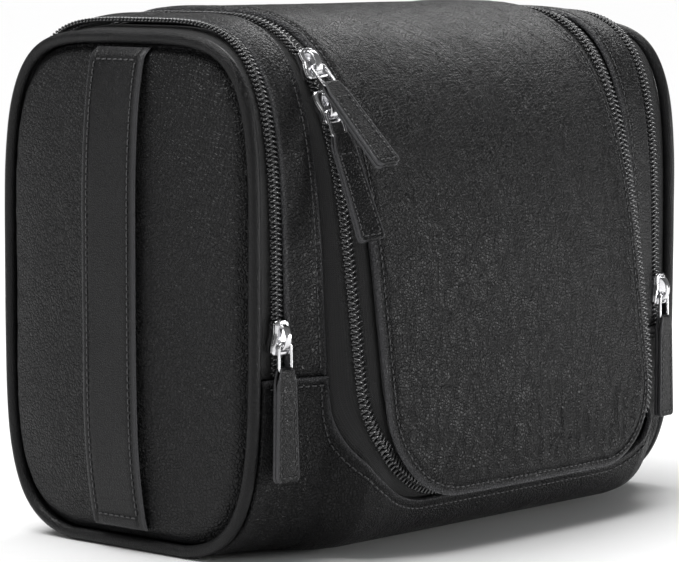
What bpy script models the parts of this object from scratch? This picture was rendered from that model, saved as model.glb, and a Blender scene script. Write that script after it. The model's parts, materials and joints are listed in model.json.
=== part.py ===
"""Hanging toiletry bag: a loaf-shaped leather wash bag with a zipped lid and a zipped pocket at each end.

Metres, +Z up. The bag stands on its bottom panel. -X is the end with the grab strap, -Y is the front.
Every panel follows one body form, which is a row of rounded cross-sections along X.
"""
import math
from functools import lru_cache

import bmesh
import bpy
import numpy as np
from mathutils import Matrix, Vector

# ---- driving dimensions ----
MID = 0.085             # height where a cross-section is widest
PIPING_X = 0.115        # the piping round each end panel
END_CROWN = 0.005       # how far an end panel swells past the piping
SIDE_ZIP_X = 0.1054     # middle of a side zip
MAIN_ZIP_X = 0.0795     # middle of the main zip on its upright runs
MAIN_ZIP_LOW = 0.0222   # middle of the main zip behind the lid's lower edge
MAIN_ZIP_TURN = 0.0385  # radius of the main zip's lower corners
LID_X = 0.0728          # half the lid's width
LID_TAPE = 0.0063       # how far the lid's half of the main zip tape reaches in from the zip's middle
LID_LOW = 0.020         # the lid's lower edge
LID_TURN = 0.032        # radius of the lid's lower corners
CUT_X = MAIN_ZIP_X + 0.0070  # the bottom panel is cut round the main zip: half the cut's width
CUT_LOW = 0.0187        # the cut's lower edge
CUT_TURN = 0.037        # radius of the cut's corners
STRIP_INNER_X = 0.0866  # the folded edge of the strip between the two zips
STRIP_OUTER_X = 0.1021
DIVIDER_X = 0.0953      # wall between the main room and an end pocket
SEAM = 0.064            # seam under the strip, where an end pocket's flap folds
HINGE_HEIGHT = 0.160    # where the lid joins the back
FOLD_Y = -0.036         # where the lid's front folds from its top

LEATHER = 0.0020
LID_THICK = 0.0028
TAPE = 0.0008
PIPING_RADIUS = 0.0022
GAP = 0.0003            # clearance between pieces that touch

# ---- depths below the outer surface ----
COIL_TOP = -0.0003
COIL_LOW = 0.0013
MAIN_COIL_TOP = 0.0003   # the main zip's coil lies lower, clear of the lid that covers its lower run
TAPE_TOP = 0.0027
TAPE_LOW = TAPE_TOP + TAPE
LINING_TOP = 0.0039
LINING_LOW = 0.0046

# ---- grab strap ----
STRAP_HALF_WIDTH = 0.013
STRAP_TOP = 0.1745
STRAP_LOW = 0.008
STRAP_THICK = 0.0022
STRAP_STAND_OFF = 0.0017

# ---- zip sliders, wire links and leather pulls ----
SLIDER_LENGTH = 0.0120
SLIDER_NARROW = 0.0031
SLIDER_WIDE = 0.0044
SLIDER_FOOT = 0.0014
SLIDER_FACE = 0.0024
CROWN_LENGTH = 0.0043
CROWN_RISE = 0.0032
CROWN_WIDTH = 0.0030
CROWN_THICK = 0.0010
WIRE = 0.0006
LINK_TOP = -0.0019
LINK_LENGTH = 0.0095
LINK_HALF_WIDTH = 0.0027
LINK_RISE = 0.0036
PULL_LENGTH = 0.0375
PULL_THICK = 0.0030
PULL_NARROW = 0.0041
PULL_WIDE = 0.0050

SIDE_SLIDER_HEIGHT = 0.0782
UPPER_SLIDER_HEIGHT = 0.1680
LOWER_SLIDER_HEIGHT = 0.1540
UPPER_LINK_TILT = math.radians(11)  # the upper pull lies on the lower slider

# ---- hook inside the lid's lower edge ----
HOOK_HEIGHT = 0.034
HOOK_RISE = 0.0114      # how far the bail and hook lie from the lid's lining
HOOK_WIRE = 0.0016
HOOK_STEM = 0.008
HOOK_BEND = 0.0105
BAIL_WIRE = 0.0011
BAIL_LENGTH = 0.0125
BAIL_HALF_WIDTH = 0.0070
TAB_FOOT = 0.0005
TAB_THICK = 0.0018
TAB_LENGTH = 0.0190
TAB_HALF_WIDTH = 0.0100

# |x|, half depth, lean of the front, roundness above and below the middle, height of the top
BODY_SECTIONS = (
    (LID_X, 0.0782, 0.130, 3.4, 4.8, 0.1866),
    (MAIN_ZIP_X, 0.0752, 0.135, 3.6, 4.8, 0.1864),
    (STRIP_INNER_X, 0.0672, 0.065, 3.8, 4.6, 0.1856),
    (SIDE_ZIP_X, 0.0625, 0.012, 4.0, 4.3, 0.1840),
    (PIPING_X, 0.0632, -0.007, 4.6, 4.1, 0.1800),
)
LID_SECTION = (0.0801, 0.130, 3.0, 9.0, 0.1875)
LID_SWELL = 0.0025
TURN_WEIGHT = 0.035     # metres of outline that one radian of turn counts for, where rows are spaced
REST_FLAT = 0.0008      # how much of the round underside rests flat
BACK_DEPTH = 0.0615
BACK_ROUND = 4.3


def clear_scene():
    for obj in list(bpy.data.objects):
        bpy.data.objects.remove(obj, do_unlink=True)


def finish(name, colour, roughness, metallic=0.0):
    material = bpy.data.materials.new(name)
    material.use_nodes = True
    shader = material.node_tree.nodes["Principled BSDF"]
    shader.inputs["Base Color"].default_value = (*colour, 1.0)
    shader.inputs["Roughness"].default_value = roughness
    shader.inputs["Metallic"].default_value = metallic
    return material


clear_scene()
FINISHES = {
    "leather": finish("black_leather", (0.016, 0.016, 0.017), 0.42),
    "tape": finish("zip_tape", (0.012, 0.012, 0.013), 0.85),
    "coil": finish("zip_coil", (0.030, 0.030, 0.032), 0.35),
    "lining": finish("lining_cloth", (0.045, 0.045, 0.048), 0.80),
    "metal": finish("nickel", (0.78, 0.78, 0.80), 0.18, 1.0),
}


# ---- the body form ----
def half_section(side, depth, lean, above, below, top):
    """One half of a cross-section, from the bottom centre to the top centre, as (y, z)."""
    angle = np.linspace(-math.pi / 2, math.pi / 2, 241)
    power = np.where(angle > 0, 2 / above, 2 / below)
    lift = np.sign(angle) * np.abs(np.sin(angle)) ** power
    spread = np.clip(np.cos(angle), 0, 1) ** power
    z = MID + np.where(lift > 0, lift * (top - MID), lift * MID)
    y = side * (depth + lean * (MID - z)) * spread
    return np.stack([y, z], axis=1)


@lru_cache(maxsize=None)
def section(x, lid):
    """The cross-section at x: points round it from the bottom centre, the length up to each, and a
    measure that grows with the length and with how far the outline has turned."""
    if lid:
        depth, lean, above, below, top = LID_SECTION
        depth += LID_SWELL * (1 - (x / LID_X) ** 2)
    else:
        stations = np.array(BODY_SECTIONS)
        reach = abs(x)
        depth, lean, above, below, top = (np.interp(reach, stations[:, 0], row) for row in stations[:, 1:].T)
    front = half_section(-1, depth, lean, above, below, top)
    back = half_section(1, BACK_DEPTH, 0.0, BACK_ROUND, below, top)
    points = np.concatenate([front, back[-2::-1]])
    steps = np.diff(points, axis=0)
    lengths = np.concatenate([[0.0], np.cumsum(np.linalg.norm(steps, axis=1))])
    heading = np.unwrap(np.arctan2(steps[:, 1], steps[:, 0]))
    turned_by = np.abs(np.concatenate([[heading[0]], heading]) - heading[0])
    return points, lengths, lengths + TURN_WEIGHT * turned_by


def length_at(x, mark, lid=False):
    """How far round the cross-section a mark is. A mark is ("front", z), ("back", z) or ("top", y)."""
    points, lengths, _ = section(x, lid)
    half = len(points) // 2
    place, value = mark
    if place == "front":
        return float(np.interp(value, points[: half + 1, 1], lengths[: half + 1]))
    if place == "back":
        return float(np.interp(value, points[:half:-1, 1], lengths[:half:-1]))
    upper = slice(half // 2, half + half // 2)
    return float(np.interp(value, points[upper, 0], lengths[upper]))


def surface(x, length, depth=0.0, lid=False):
    """A point on the body form at x, this far round the cross-section and this deep below its surface."""
    points, lengths, _ = section(x, lid)
    total = lengths[-1]
    step = 0.0004

    def at(distance):
        distance = distance % total
        return np.array([np.interp(distance, lengths, points[:, 0]), np.interp(distance, lengths, points[:, 1])])

    y, z = at(length)
    along = at(length + step) - at(length - step)
    along /= np.linalg.norm(along)
    resting = max(z - REST_FLAT * max(1 - z / MID, 0.0), 0.0)
    return np.array([x, y + along[1] * depth, resting - along[0] * depth])


# ---- solids ----
def add_object(name, mesh, material, smooth=40.0):
    mesh.shade_smooth()
    mesh.set_sharp_from_angle(angle=math.radians(smooth))
    mesh.materials.append(FINISHES[material])
    obj = bpy.data.objects.new(name, mesh)
    bpy.context.scene.collection.objects.link(obj)
    return obj


def solid(name, verts, faces, material):
    mesh = bpy.data.meshes.new(name)
    mesh.from_pydata([tuple(v) for v in verts], [], faces)
    shape = bmesh.new()
    shape.from_mesh(mesh)
    bmesh.ops.remove_doubles(shape, verts=shape.verts, dist=1e-6)
    bmesh.ops.recalc_face_normals(shape, faces=shape.faces)
    shape.to_mesh(mesh)
    shape.free()
    return add_object(name, mesh, material)


def slab(name, outer, inner, material):
    """A closed panel between two matching grids of points."""
    rows, cols = outer.shape[:2]
    count = rows * cols
    verts = list(outer.reshape(-1, 3)) + list(inner.reshape(-1, 3))
    faces = []
    for r in range(rows - 1):
        for c in range(cols - 1):
            a = r * cols + c
            quad = (a, a + 1, a + cols + 1, a + cols)
            faces.append(quad)
            faces.append(tuple(count + i for i in reversed(quad)))
    rim = [(0, c) for c in range(cols)] + [(r, cols - 1) for r in range(1, rows)]
    rim += [(rows - 1, c) for c in range(cols - 2, -1, -1)] + [(r, 0) for r in range(rows - 2, 0, -1)]
    loop = [r * cols + c for r, c in rim]
    for i, a in enumerate(loop):
        b = loop[(i + 1) % len(loop)]
        faces.append((b, a, count + a, count + b))
    return solid(name, verts, faces, material)


def sheet_points(columns, start, end, rows, depth, lid=False):
    """Points over the body form: a column at each x, from one mark round to the other."""
    grid = np.empty((rows, len(columns), 3))
    for c, x in enumerate(columns):
        _, lengths, measure = section(x, lid)
        first, last = (length_at(x, mark(x) if callable(mark) else mark, lid) for mark in (start, end))
        if last < first:
            lengths = np.concatenate([lengths, lengths[1:] + lengths[-1]])
            measure = np.concatenate([measure, measure[1:] + measure[-1]])
            last += section(x, lid)[1][-1]
        for r, mark in enumerate(np.linspace(*np.interp((first, last), lengths, measure), rows)):
            grid[r, c] = surface(x, np.interp(mark, measure, lengths), depth, lid)
    return grid


def sheet(name, columns, start, end, rows, top, low, material, lid=False):
    outer = sheet_points(columns, start, end, rows, top, lid)
    inner = sheet_points(columns, start, end, rows, low, lid)
    return slab(name, outer, inner, material)


def tube(name, path, ring, material, closed=False, side=None):
    """A tube along a path of points. The ring is its cross-section, as (sideways, outward) offsets."""
    path = [Vector(p) for p in path]
    count = len(path)
    verts, faces = [], []
    for i, here in enumerate(path):
        before = path[i - 1] if closed or i else here
        after = path[(i + 1) % count] if closed or i < count - 1 else here
        along = (after - before).normalized()
        if side is None:
            side = along.orthogonal().normalized()
        side = (side - along * side.dot(along)).normalized()
        outward = along.cross(side)
        verts += [here + side * a + outward * b for a, b in ring]
    sides = len(ring)
    for i in range(count if closed else count - 1):
        for j in range(sides):
            k = (j + 1) % sides
            a, b = i * sides, (i + 1) % count * sides
            faces.append((a + j, a + k, b + k, b + j))
    if not closed:
        faces.append(tuple(range(sides)))
        faces.append(tuple((count - 1) * sides + j for j in range(sides)))
    return solid(name, verts, faces, material)


def round_ring(radius, sides):
    turn = [2 * math.pi * j / sides for j in range(sides)]
    return [(radius * math.cos(t), radius * math.sin(t)) for t in turn]


# ---- end panels, piping and the end pocket's flap ----
def end_swell(y, z):
    """How far an end panel stands past the piping at a point."""
    reach = (abs(y) / 0.0632) ** 4 + (abs(z - 0.090) / 0.090) ** 4
    return END_CROWN * (1 - min(reach, 1.0))


def end_panel(name, side, upper):
    edge = SEAM + GAP if upper else SEAM - GAP
    marks = (("front", edge), ("back", edge)) if upper else (("back", edge), ("front", edge))
    outline = sheet_points([side * PIPING_X], *marks, 21, 2 * PIPING_RADIUS + 0.0004)[:, 0]
    steps = np.linspace(0, 1, 6)
    outer = np.empty((len(steps), len(outline), 3))
    for r, step in enumerate(steps):
        for c, rim in enumerate(outline):
            share = c / (len(outline) - 1)
            y = (outline[0][1] * (1 - share) + outline[-1][1] * share) * (1 - step) + rim[1] * step
            z = edge * (1 - step) + rim[2] * step
            outer[r, c] = (side * (PIPING_X + end_swell(y, z)), y, z)
    inner = outer.copy()
    inner[:, :, 0] -= side * LEATHER
    return slab(name, outer, inner, "leather")


def piping(name, side, upper):
    edge = SEAM + GAP if upper else SEAM - GAP
    marks = (("front", edge), ("back", edge)) if upper else (("back", edge), ("front", edge))
    path = sheet_points([side * PIPING_X], *marks, 25, PIPING_RADIUS)[:, 0]
    return tube(name, path, round_ring(PIPING_RADIUS, 6), "leather")


def side_zip(side, word):
    """The two halves of one side zip. The outer half opens with the flap."""
    front, back = ("front", SEAM + GAP), ("back", SEAM + GAP)
    halves = (
        ("outer", SIDE_ZIP_X + GAP / 2, SIDE_ZIP_X + 0.0028, 0.1124),
        ("inner", SIDE_ZIP_X - GAP / 2, SIDE_ZIP_X - 0.0028, 0.0990),
    )
    for half, middle, coil_edge, tape_edge in halves:
        coil = (side * middle, side * coil_edge)
        tape = (side * middle, side * tape_edge)
        sheet(f"{word}_side_zip_coil_{half}", coil, front, back, 21, COIL_TOP, COIL_LOW, "coil")
        sheet(f"{word}_side_zip_tape_{half}", tape, front, back, 21, TAPE_TOP, TAPE_LOW, "tape")


def strip(side, word):
    columns = side * np.linspace(STRIP_INNER_X, STRIP_OUTER_X, 4)
    ends = (("front", SEAM + GAP), ("back", SEAM + GAP))
    sheet(f"{word}_zip_strip", columns, *ends, 21, 0.0, LEATHER, "leather")


def lower_gusset(side, word):
    columns = side * np.linspace(DIVIDER_X, 0.1124, 4)
    ends = (("back", SEAM - GAP), ("front", SEAM - GAP))
    sheet(f"{word}_lower_gusset", columns, *ends, 19, 0.0, LEATHER, "leather")


def divider(side, word):
    """The cloth wall between the main room and an end pocket."""
    thick = 0.0012
    count = 36
    rim = sheet_points([side * DIVIDER_X], ("front", 0.001), ("back", 0.001), count, 0.0048)[:, 0]
    faces = [tuple(range(len(rim))), tuple(range(2 * len(rim) - 1, len(rim) - 1, -1))]
    faces += [(i, (i + 1) % count, count + (i + 1) % count, count + i) for i in range(count)]
    far = rim + np.array([side * thick, 0, 0])
    solid(f"{word}_divider", list(rim) + list(far), faces, "lining")


def grab_strap(name, upper):
    """Half of the strap over the left end panel. It is sewn down at both ends."""
    low, high = (SEAM + GAP, STRAP_TOP) if upper else (STRAP_LOW, SEAM - GAP)
    middle = (STRAP_TOP + STRAP_LOW) / 2
    half_length = (STRAP_TOP - STRAP_LOW) / 2
    outer = np.empty((15, 3, 3))
    for r, z in enumerate(np.linspace(low, high, 15)):
        slack = 1 - ((z - middle) / half_length) ** 4
        inner_face = PIPING_X + end_swell(0.0, z) + 0.0004 + STRAP_STAND_OFF * slack
        for c, y in enumerate((-STRAP_HALF_WIDTH, 0.0, STRAP_HALF_WIDTH)):
            outer[r, c] = (-(inner_face + STRAP_THICK), y, z)
    inner = outer + np.array([STRAP_THICK, 0, 0])
    return slab(name, outer, inner, "leather")


# ---- the main zip, which runs up one side of the lid, and round its lower edge, and up the other ----
def main_zip_path(out, start, depth, rows):
    """Points along the main zip, this far out from its middle, from a mark on one side to the other."""
    centre_x = MAIN_ZIP_X - MAIN_ZIP_TURN
    centre_z = MAIN_ZIP_LOW + MAIN_ZIP_TURN
    radius = MAIN_ZIP_TURN + out
    upright = sheet_points([-(MAIN_ZIP_X + out)], ("front", centre_z), start, rows, depth)[::-1, 0]
    left = list(upright[:-1])
    for turn in np.linspace(0, math.pi / 2, 9):
        x = -(centre_x + radius * math.cos(turn))
        z = centre_z - radius * math.sin(turn)
        left.append(surface(x, length_at(x, ("front", z)), depth))
    for x in (-centre_x * 2 / 3, -centre_x / 3):
        left.append(surface(x, length_at(x, ("front", MAIN_ZIP_LOW - out)), depth))
    middle = surface(0.0, length_at(0.0, ("front", MAIN_ZIP_LOW - out)), depth)
    right = [p * np.array([-1, 1, 1]) for p in reversed(left)]
    return np.array(left + [middle] + right)


def main_zip_piece(name, near, far, start, top, low, rows, material):
    outer = np.stack([main_zip_path(near, start, top, rows), main_zip_path(far, start, top, rows)], axis=1)
    inner = np.stack([main_zip_path(near, start, low, rows), main_zip_path(far, start, low, rows)], axis=1)
    return slab(name, outer, inner, material)


LID_END = ("back", HINGE_HEIGHT + GAP)
FRONT_END = ("top", FOLD_Y - GAP)
TOP_END = ("top", FOLD_Y + GAP)


def main_zip():
    """The outer half stays on the bag. The inner half is on the lid, and splits where the lid folds."""
    main_zip_piece("main_zip_coil_bag", GAP / 2, 0.0031, LID_END, MAIN_COIL_TOP, COIL_LOW, 17, "coil")
    main_zip_piece("main_zip_tape_bag", GAP / 2, 0.0060, LID_END, TAPE_TOP, TAPE_LOW, 17, "tape")
    main_zip_piece("main_zip_coil_lid_front", -GAP / 2, -0.0031, FRONT_END, MAIN_COIL_TOP, COIL_LOW, 11, "coil")
    main_zip_piece("main_zip_tape_lid_front", -GAP / 2, -LID_TAPE, FRONT_END, TAPE_TOP, TAPE_LOW, 11, "tape")
    for side, word in ((-1, "left"), (1, "right")):
        coil = (side * (MAIN_ZIP_X - GAP / 2), side * (MAIN_ZIP_X - 0.0031))
        tape = (side * (MAIN_ZIP_X - GAP / 2), side * (MAIN_ZIP_X - LID_TAPE))
        sheet(f"main_zip_coil_lid_{word}", coil, TOP_END, LID_END, 9, MAIN_COIL_TOP, COIL_LOW, "coil")
        sheet(f"main_zip_tape_lid_{word}", tape, TOP_END, LID_END, 9, TAPE_TOP, TAPE_LOW, "tape")


# ---- the lid, the back and the bottom ----
def rounded_low_edge(x, half_width, low, turn):
    """Height of an edge with round corners: the lid's lower edge, or the bottom panel's cut round the zip."""
    past = abs(x) - (half_width - turn)
    if past <= 0:
        return low
    return low + turn - math.sqrt(max(turn ** 2 - past ** 2, 0.0))


def lid_columns(half_width, turn):
    """Columns across a piece with round lower corners, closer together where the corner turns."""
    centre = half_width - turn
    corner = [centre + turn * math.sin(t) for t in np.linspace(0, math.pi / 2, 6)]
    half = [0.0, centre / 2] + corner
    return [-x for x in reversed(half[1:])] + half


def lid():
    def low_edge(x):
        return ("front", rounded_low_edge(x, LID_X, LID_LOW, LID_TURN))

    def lining_edge(x):
        return ("front", rounded_low_edge(x, LID_X - 0.005, LID_LOW + 0.014, LID_TURN - 0.005))

    columns = lid_columns(LID_X, LID_TURN)
    sheet("lid_front_panel", columns, low_edge, FRONT_END, 14, 0.0, LID_THICK, "leather", lid=True)
    sheet("lid_top_panel", columns, TOP_END, LID_END, 9, 0.0, LID_THICK, "leather", lid=True)
    lined = lid_columns(LID_X - 0.005, LID_TURN - 0.005)
    layers = (LID_THICK + 0.0005, LID_THICK + 0.0012)
    sheet("lid_front_lining", lined, lining_edge, FRONT_END, 10, *layers, "lining", lid=True)
    sheet("lid_top_lining", lined, TOP_END, LID_END, 8, *layers, "lining", lid=True)


def back_and_bottom():
    back_columns = np.linspace(-STRIP_INNER_X + GAP, STRIP_INNER_X - GAP, 7)
    back = (("back", HINGE_HEIGHT - GAP), ("back", SEAM + GAP))
    sheet("back_panel", back_columns, *back, 10, 0.0, LEATHER, "leather")

    def front_edge(x):
        if abs(x) >= CUT_X - 0.0001:
            return ("front", SEAM - GAP)
        return ("front", rounded_low_edge(x, CUT_X, CUT_LOW, CUT_TURN))

    outer = CUT_X + 0.0002, DIVIDER_X - 2 * GAP
    columns = [-x for x in reversed(outer)] + lid_columns(CUT_X - 0.0002, CUT_TURN) + list(outer)
    sheet("bottom_panel", columns, ("back", SEAM - GAP), front_edge, 17, 0.0, LEATHER, "leather")

    lining_columns = np.linspace(-DIVIDER_X + 0.002, DIVIDER_X - 0.002, 7)
    lining_ends = (("back", HINGE_HEIGHT - 0.004), ("front", 0.0115))
    sheet("main_lining", lining_columns, *lining_ends, 16, LINING_TOP, LINING_LOW, "lining")


# ---- zip sliders, links and pulls ----
def zip_frame(x, height, flip=False):
    """A frame on a zip: X across it, Y along it and up, Z straight out of it."""
    length = length_at(x, ("front", height))
    along = surface(x, length + 0.002) - surface(x, length - 0.002)
    across = surface(x + 0.003, length_at(x + 0.003, ("front", height)))
    across -= surface(x - 0.003, length_at(x - 0.003, ("front", height)))
    up = Vector(along).normalized()
    out = Vector(across).cross(up).normalized()
    side = up.cross(out)
    if flip:
        side, up = -side, -up
    frame = Matrix((side, up, out)).transposed().to_4x4()
    frame.translation = Vector(surface(x, length))
    return frame


def slider(name, frame):
    """A slider's cover plate, narrow at the closed end, with the raised crown that holds the wire link."""
    half = SLIDER_LENGTH / 2
    side = [(SLIDER_NARROW - 0.0008, half), (SLIDER_NARROW, half - 0.0010), (SLIDER_NARROW + 0.0001, 0.0010),
            (SLIDER_WIDE, -0.0022), (SLIDER_WIDE, -half + 0.0012), (SLIDER_WIDE - 0.0010, -half)]
    outline = side + [(-x, y) for x, y in reversed(side)]
    count = len(outline)
    verts = [(x, y, SLIDER_FOOT) for x, y in outline] + [(x, y, SLIDER_FACE) for x, y in outline]
    faces = [tuple(reversed(range(count))), tuple(range(count, 2 * count))]
    faces += [(i, (i + 1) % count, count + (i + 1) % count, count + i) for i in range(count)]
    plate = solid(name, verts, faces, "metal")

    turns = np.linspace(-0.12, math.pi + 0.12, 11)
    arch = [(0.0, CROWN_LENGTH * math.cos(t), SLIDER_FACE - GAP + CROWN_RISE * math.sin(t)) for t in turns]
    wide, thick = CROWN_WIDTH / 2, CROWN_THICK / 2
    band = [(-wide, -thick), (wide, -thick), (wide, thick), (-wide, thick)]
    crown = tube(name + "_crown", arch, band, "metal", side=Vector((1, 0, 0)))
    crown.hide_render = True
    crown.display_type = "WIRE"
    union = plate.modifiers.new("crown", "BOOLEAN")
    union.operation = "UNION"
    union.object = crown
    plate.matrix_world = frame
    crown.parent = plate


def link_frame(frame, down, tilt):
    """A frame on the link's top bar, with the link hanging down along its -Y."""
    return frame @ Matrix.Translation((0, LINK_TOP * down, LINK_RISE)) @ turned(down) @ Matrix.Rotation(-tilt, 4, "X")


def link(name, frame):
    """A closed wire loop through the crown. It turns about its top bar."""
    corner = 0.0013
    path = []
    for cx, cy, start in ((1, 0, 0), (-1, 0, 90), (-1, -1, 180), (1, -1, 270)):
        x = cx * (LINK_HALF_WIDTH - corner)
        y = -corner if cy == 0 else -LINK_LENGTH + corner
        for turn in (0, 45, 90):
            angle = math.radians(start + turn)
            path.append((x + corner * math.cos(angle), y + corner * math.sin(angle), 0.0))
    loop = tube(name, path, round_ring(WIRE, 6), "metal", closed=True)
    loop.matrix_world = frame


def turned(down):
    """A slider that faces the other way still has its link and pull hanging down."""
    return Matrix.Rotation(0.0 if down > 0 else math.pi, 4, "Z")


def pull(name, frame):
    """The leather pull that hangs from the link's lower bar, wider at its lower end."""
    top = -WIRE - GAP
    low = -PULL_LENGTH
    corner = 0.0014
    side = [(PULL_NARROW - 0.0012, top), (PULL_NARROW, top - 0.0025),
            (PULL_WIDE, low + corner), (PULL_WIDE - corner, low)]
    outline = side + [(-x, y) for x, y in reversed(side)]
    count = len(outline)
    half = PULL_THICK / 2
    verts = [(x, y, -half) for x, y in outline] + [(x, y, half) for x, y in outline]
    faces = [tuple(reversed(range(count))), tuple(range(count, 2 * count))]
    faces += [(i, (i + 1) % count, count + (i + 1) % count, count + i) for i in range(count)]
    tag = solid(name, verts, faces, "leather")
    tag.matrix_world = frame @ Matrix.Translation((0, -LINK_LENGTH, 0))


def sliders():
    places = (
        ("left_side", -SIDE_ZIP_X, SIDE_SLIDER_HEIGHT, 1, 0.0),
        ("right_side", SIDE_ZIP_X, SIDE_SLIDER_HEIGHT, 1, 0.0),
        ("upper_main", -MAIN_ZIP_X, UPPER_SLIDER_HEIGHT, 1, UPPER_LINK_TILT),
        ("lower_main", -MAIN_ZIP_X, LOWER_SLIDER_HEIGHT, -1, 0.0),
    )
    for word, x, height, down, tilt in places:
        frame = zip_frame(x, height, flip=down < 0)
        slider(f"{word}_slider", frame)
        hang = link_frame(frame, down, tilt)
        link(f"{word}_link", hang)
        pull(f"{word}_pull", hang)


# ---- hook, stowed flat behind the lid's lower edge ----
def hook_frame():
    """A frame on the lid's lining: Y up the lid, Z into the bag. The hook's bail turns about its X."""
    length = length_at(0.0, ("front", HOOK_HEIGHT), True)
    depth = LID_THICK + 0.0012
    along = surface(0.0, length + 0.010, depth, True) - surface(0.0, length - 0.010, depth, True)
    up = Vector(along).normalized()
    into = Vector((-1, 0, 0)).cross(up)
    frame = Matrix((Vector((-1, 0, 0)), up, into)).transposed().to_4x4()
    frame.translation = Vector(surface(0.0, length, depth, True))
    return frame


def hook():
    """A leather tab sewn to the lid, a wire bail that flips down from it, and a swivelling hook."""
    frame = hook_frame()
    tab = np.array([[(x, y, TAB_FOOT) for x in (-TAB_HALF_WIDTH, TAB_HALF_WIDTH)] for y in (0.0014, TAB_LENGTH)])
    tab_piece = slab("hook_tab", tab, tab + np.array([0, 0, TAB_THICK]), "leather")
    tab_piece.matrix_world = frame

    bail_frame = frame @ Matrix.Translation((0, 0, HOOK_RISE))
    half = BAIL_HALF_WIDTH
    shoulder = BAIL_LENGTH * 0.8
    bail = [(-half, 0, 0), (half, 0, 0), (half, shoulder, 0), (0, BAIL_LENGTH, 0), (-half, shoulder, 0)]
    bail_piece = tube("hook_bail", bail, round_ring(BAIL_WIRE, 6), "metal", closed=True)
    bail_piece.matrix_world = bail_frame

    stem = BAIL_WIRE + HOOK_WIRE
    path = [(0, stem, 0), (0, stem + HOOK_STEM, 0)]
    for turn in np.linspace(math.radians(-90), math.radians(120), 12)[1:]:
        path.append((HOOK_BEND * math.cos(turn), stem + HOOK_STEM + HOOK_BEND * (1 + math.sin(turn)), 0))
    hook_piece = tube("hook", path, round_ring(HOOK_WIRE, 8), "metal")
    hook_piece.matrix_world = bail_frame @ Matrix.Translation((0, BAIL_LENGTH, 0))


for x_side, side_word in ((-1, "left"), (1, "right")):
    end_panel(f"{side_word}_end_panel_upper", x_side, True)
    end_panel(f"{side_word}_end_panel_lower", x_side, False)
    piping(f"{side_word}_piping_upper", x_side, True)
    piping(f"{side_word}_piping_lower", x_side, False)
    side_zip(x_side, side_word)
    strip(x_side, side_word)
    lower_gusset(x_side, side_word)
    divider(x_side, side_word)
grab_strap("grab_strap_upper", True)
grab_strap("grab_strap_lower", False)
main_zip()
lid()
back_and_bottom()
sliders()
hook()
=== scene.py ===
"""How the hanging toiletry bag looks: leather, zips, stitching, lining and metal.

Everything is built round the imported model, in its frame: metres, +Z up.
-X is the end with the grab strap, and -Y is the front.
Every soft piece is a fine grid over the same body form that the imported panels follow.
"""

import json
import math
from functools import lru_cache

import bmesh
import bpy
import numpy as np
from mathutils import Matrix, Vector, noise


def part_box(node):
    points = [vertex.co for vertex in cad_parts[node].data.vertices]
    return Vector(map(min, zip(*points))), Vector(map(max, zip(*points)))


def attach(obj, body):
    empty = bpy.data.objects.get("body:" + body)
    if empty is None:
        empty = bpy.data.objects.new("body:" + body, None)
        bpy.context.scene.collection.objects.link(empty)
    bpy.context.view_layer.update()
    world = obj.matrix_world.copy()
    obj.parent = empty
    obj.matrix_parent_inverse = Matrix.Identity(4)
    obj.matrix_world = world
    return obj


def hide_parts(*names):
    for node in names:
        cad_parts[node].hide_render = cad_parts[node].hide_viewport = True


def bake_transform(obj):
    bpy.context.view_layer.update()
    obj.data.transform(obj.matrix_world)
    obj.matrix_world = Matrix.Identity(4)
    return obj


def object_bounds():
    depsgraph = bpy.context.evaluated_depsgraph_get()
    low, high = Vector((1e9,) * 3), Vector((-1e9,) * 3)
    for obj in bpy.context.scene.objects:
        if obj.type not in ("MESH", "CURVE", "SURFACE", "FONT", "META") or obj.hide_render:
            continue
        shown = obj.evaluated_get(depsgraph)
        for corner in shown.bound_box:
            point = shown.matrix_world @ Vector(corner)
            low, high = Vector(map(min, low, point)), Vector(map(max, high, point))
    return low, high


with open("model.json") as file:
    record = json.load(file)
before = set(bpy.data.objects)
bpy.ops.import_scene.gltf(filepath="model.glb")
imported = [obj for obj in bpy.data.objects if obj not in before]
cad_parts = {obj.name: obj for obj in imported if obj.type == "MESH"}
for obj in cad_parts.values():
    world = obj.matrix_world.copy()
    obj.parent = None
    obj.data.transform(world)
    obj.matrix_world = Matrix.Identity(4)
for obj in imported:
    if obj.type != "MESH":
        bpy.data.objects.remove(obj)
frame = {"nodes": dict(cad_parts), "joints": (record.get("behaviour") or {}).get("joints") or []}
cad_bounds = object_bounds()
joints = {joint["name"]: joint for joint in frame["joints"]}

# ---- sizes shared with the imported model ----
MID = 0.085             # height where a cross-section is widest
PIPING_X = 0.115
END_CROWN = 0.005
SIDE_ZIP_X = 0.1054
MAIN_ZIP_X = 0.0795
MAIN_ZIP_LOW = 0.0222
MAIN_ZIP_TURN = 0.0385
LID_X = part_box("lid_front_panel")[1].x
LID_LOW = 0.020
LID_TURN = 0.032
STRIP_INNER_X = 0.0866
STRIP_OUTER_X = 0.1021
DIVIDER_X = 0.0953
GUSSET_X = 0.1124       # where the leather goes under the piping
SEAM = joints["left_flap_fold"]["pos_m"][2]
HINGE_HEIGHT = 0.160
FOLD_Y = joints["lid_fold"]["pos_m"][1]

LEATHER = 0.0020
LID_THICK = 0.0028
PIPING_RADIUS = 0.0022
TAPE_TOP = 0.0027       # depth of the zip tapes below the leather's surface
TAPE_THICK = 0.0008
LINING_TOP = 0.0039
LINING_THICK = 0.0007

STRAP_HALF_WIDTH = 0.013
STRAP_TOP = 0.1745
STRAP_LOW = 0.008
STRAP_THICK = 0.0022
STRAP_STAND_OFF = 0.0017
STRAP_END_STITCH = 0.0042   # from each sewn end of the strap to its row of stitches

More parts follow.
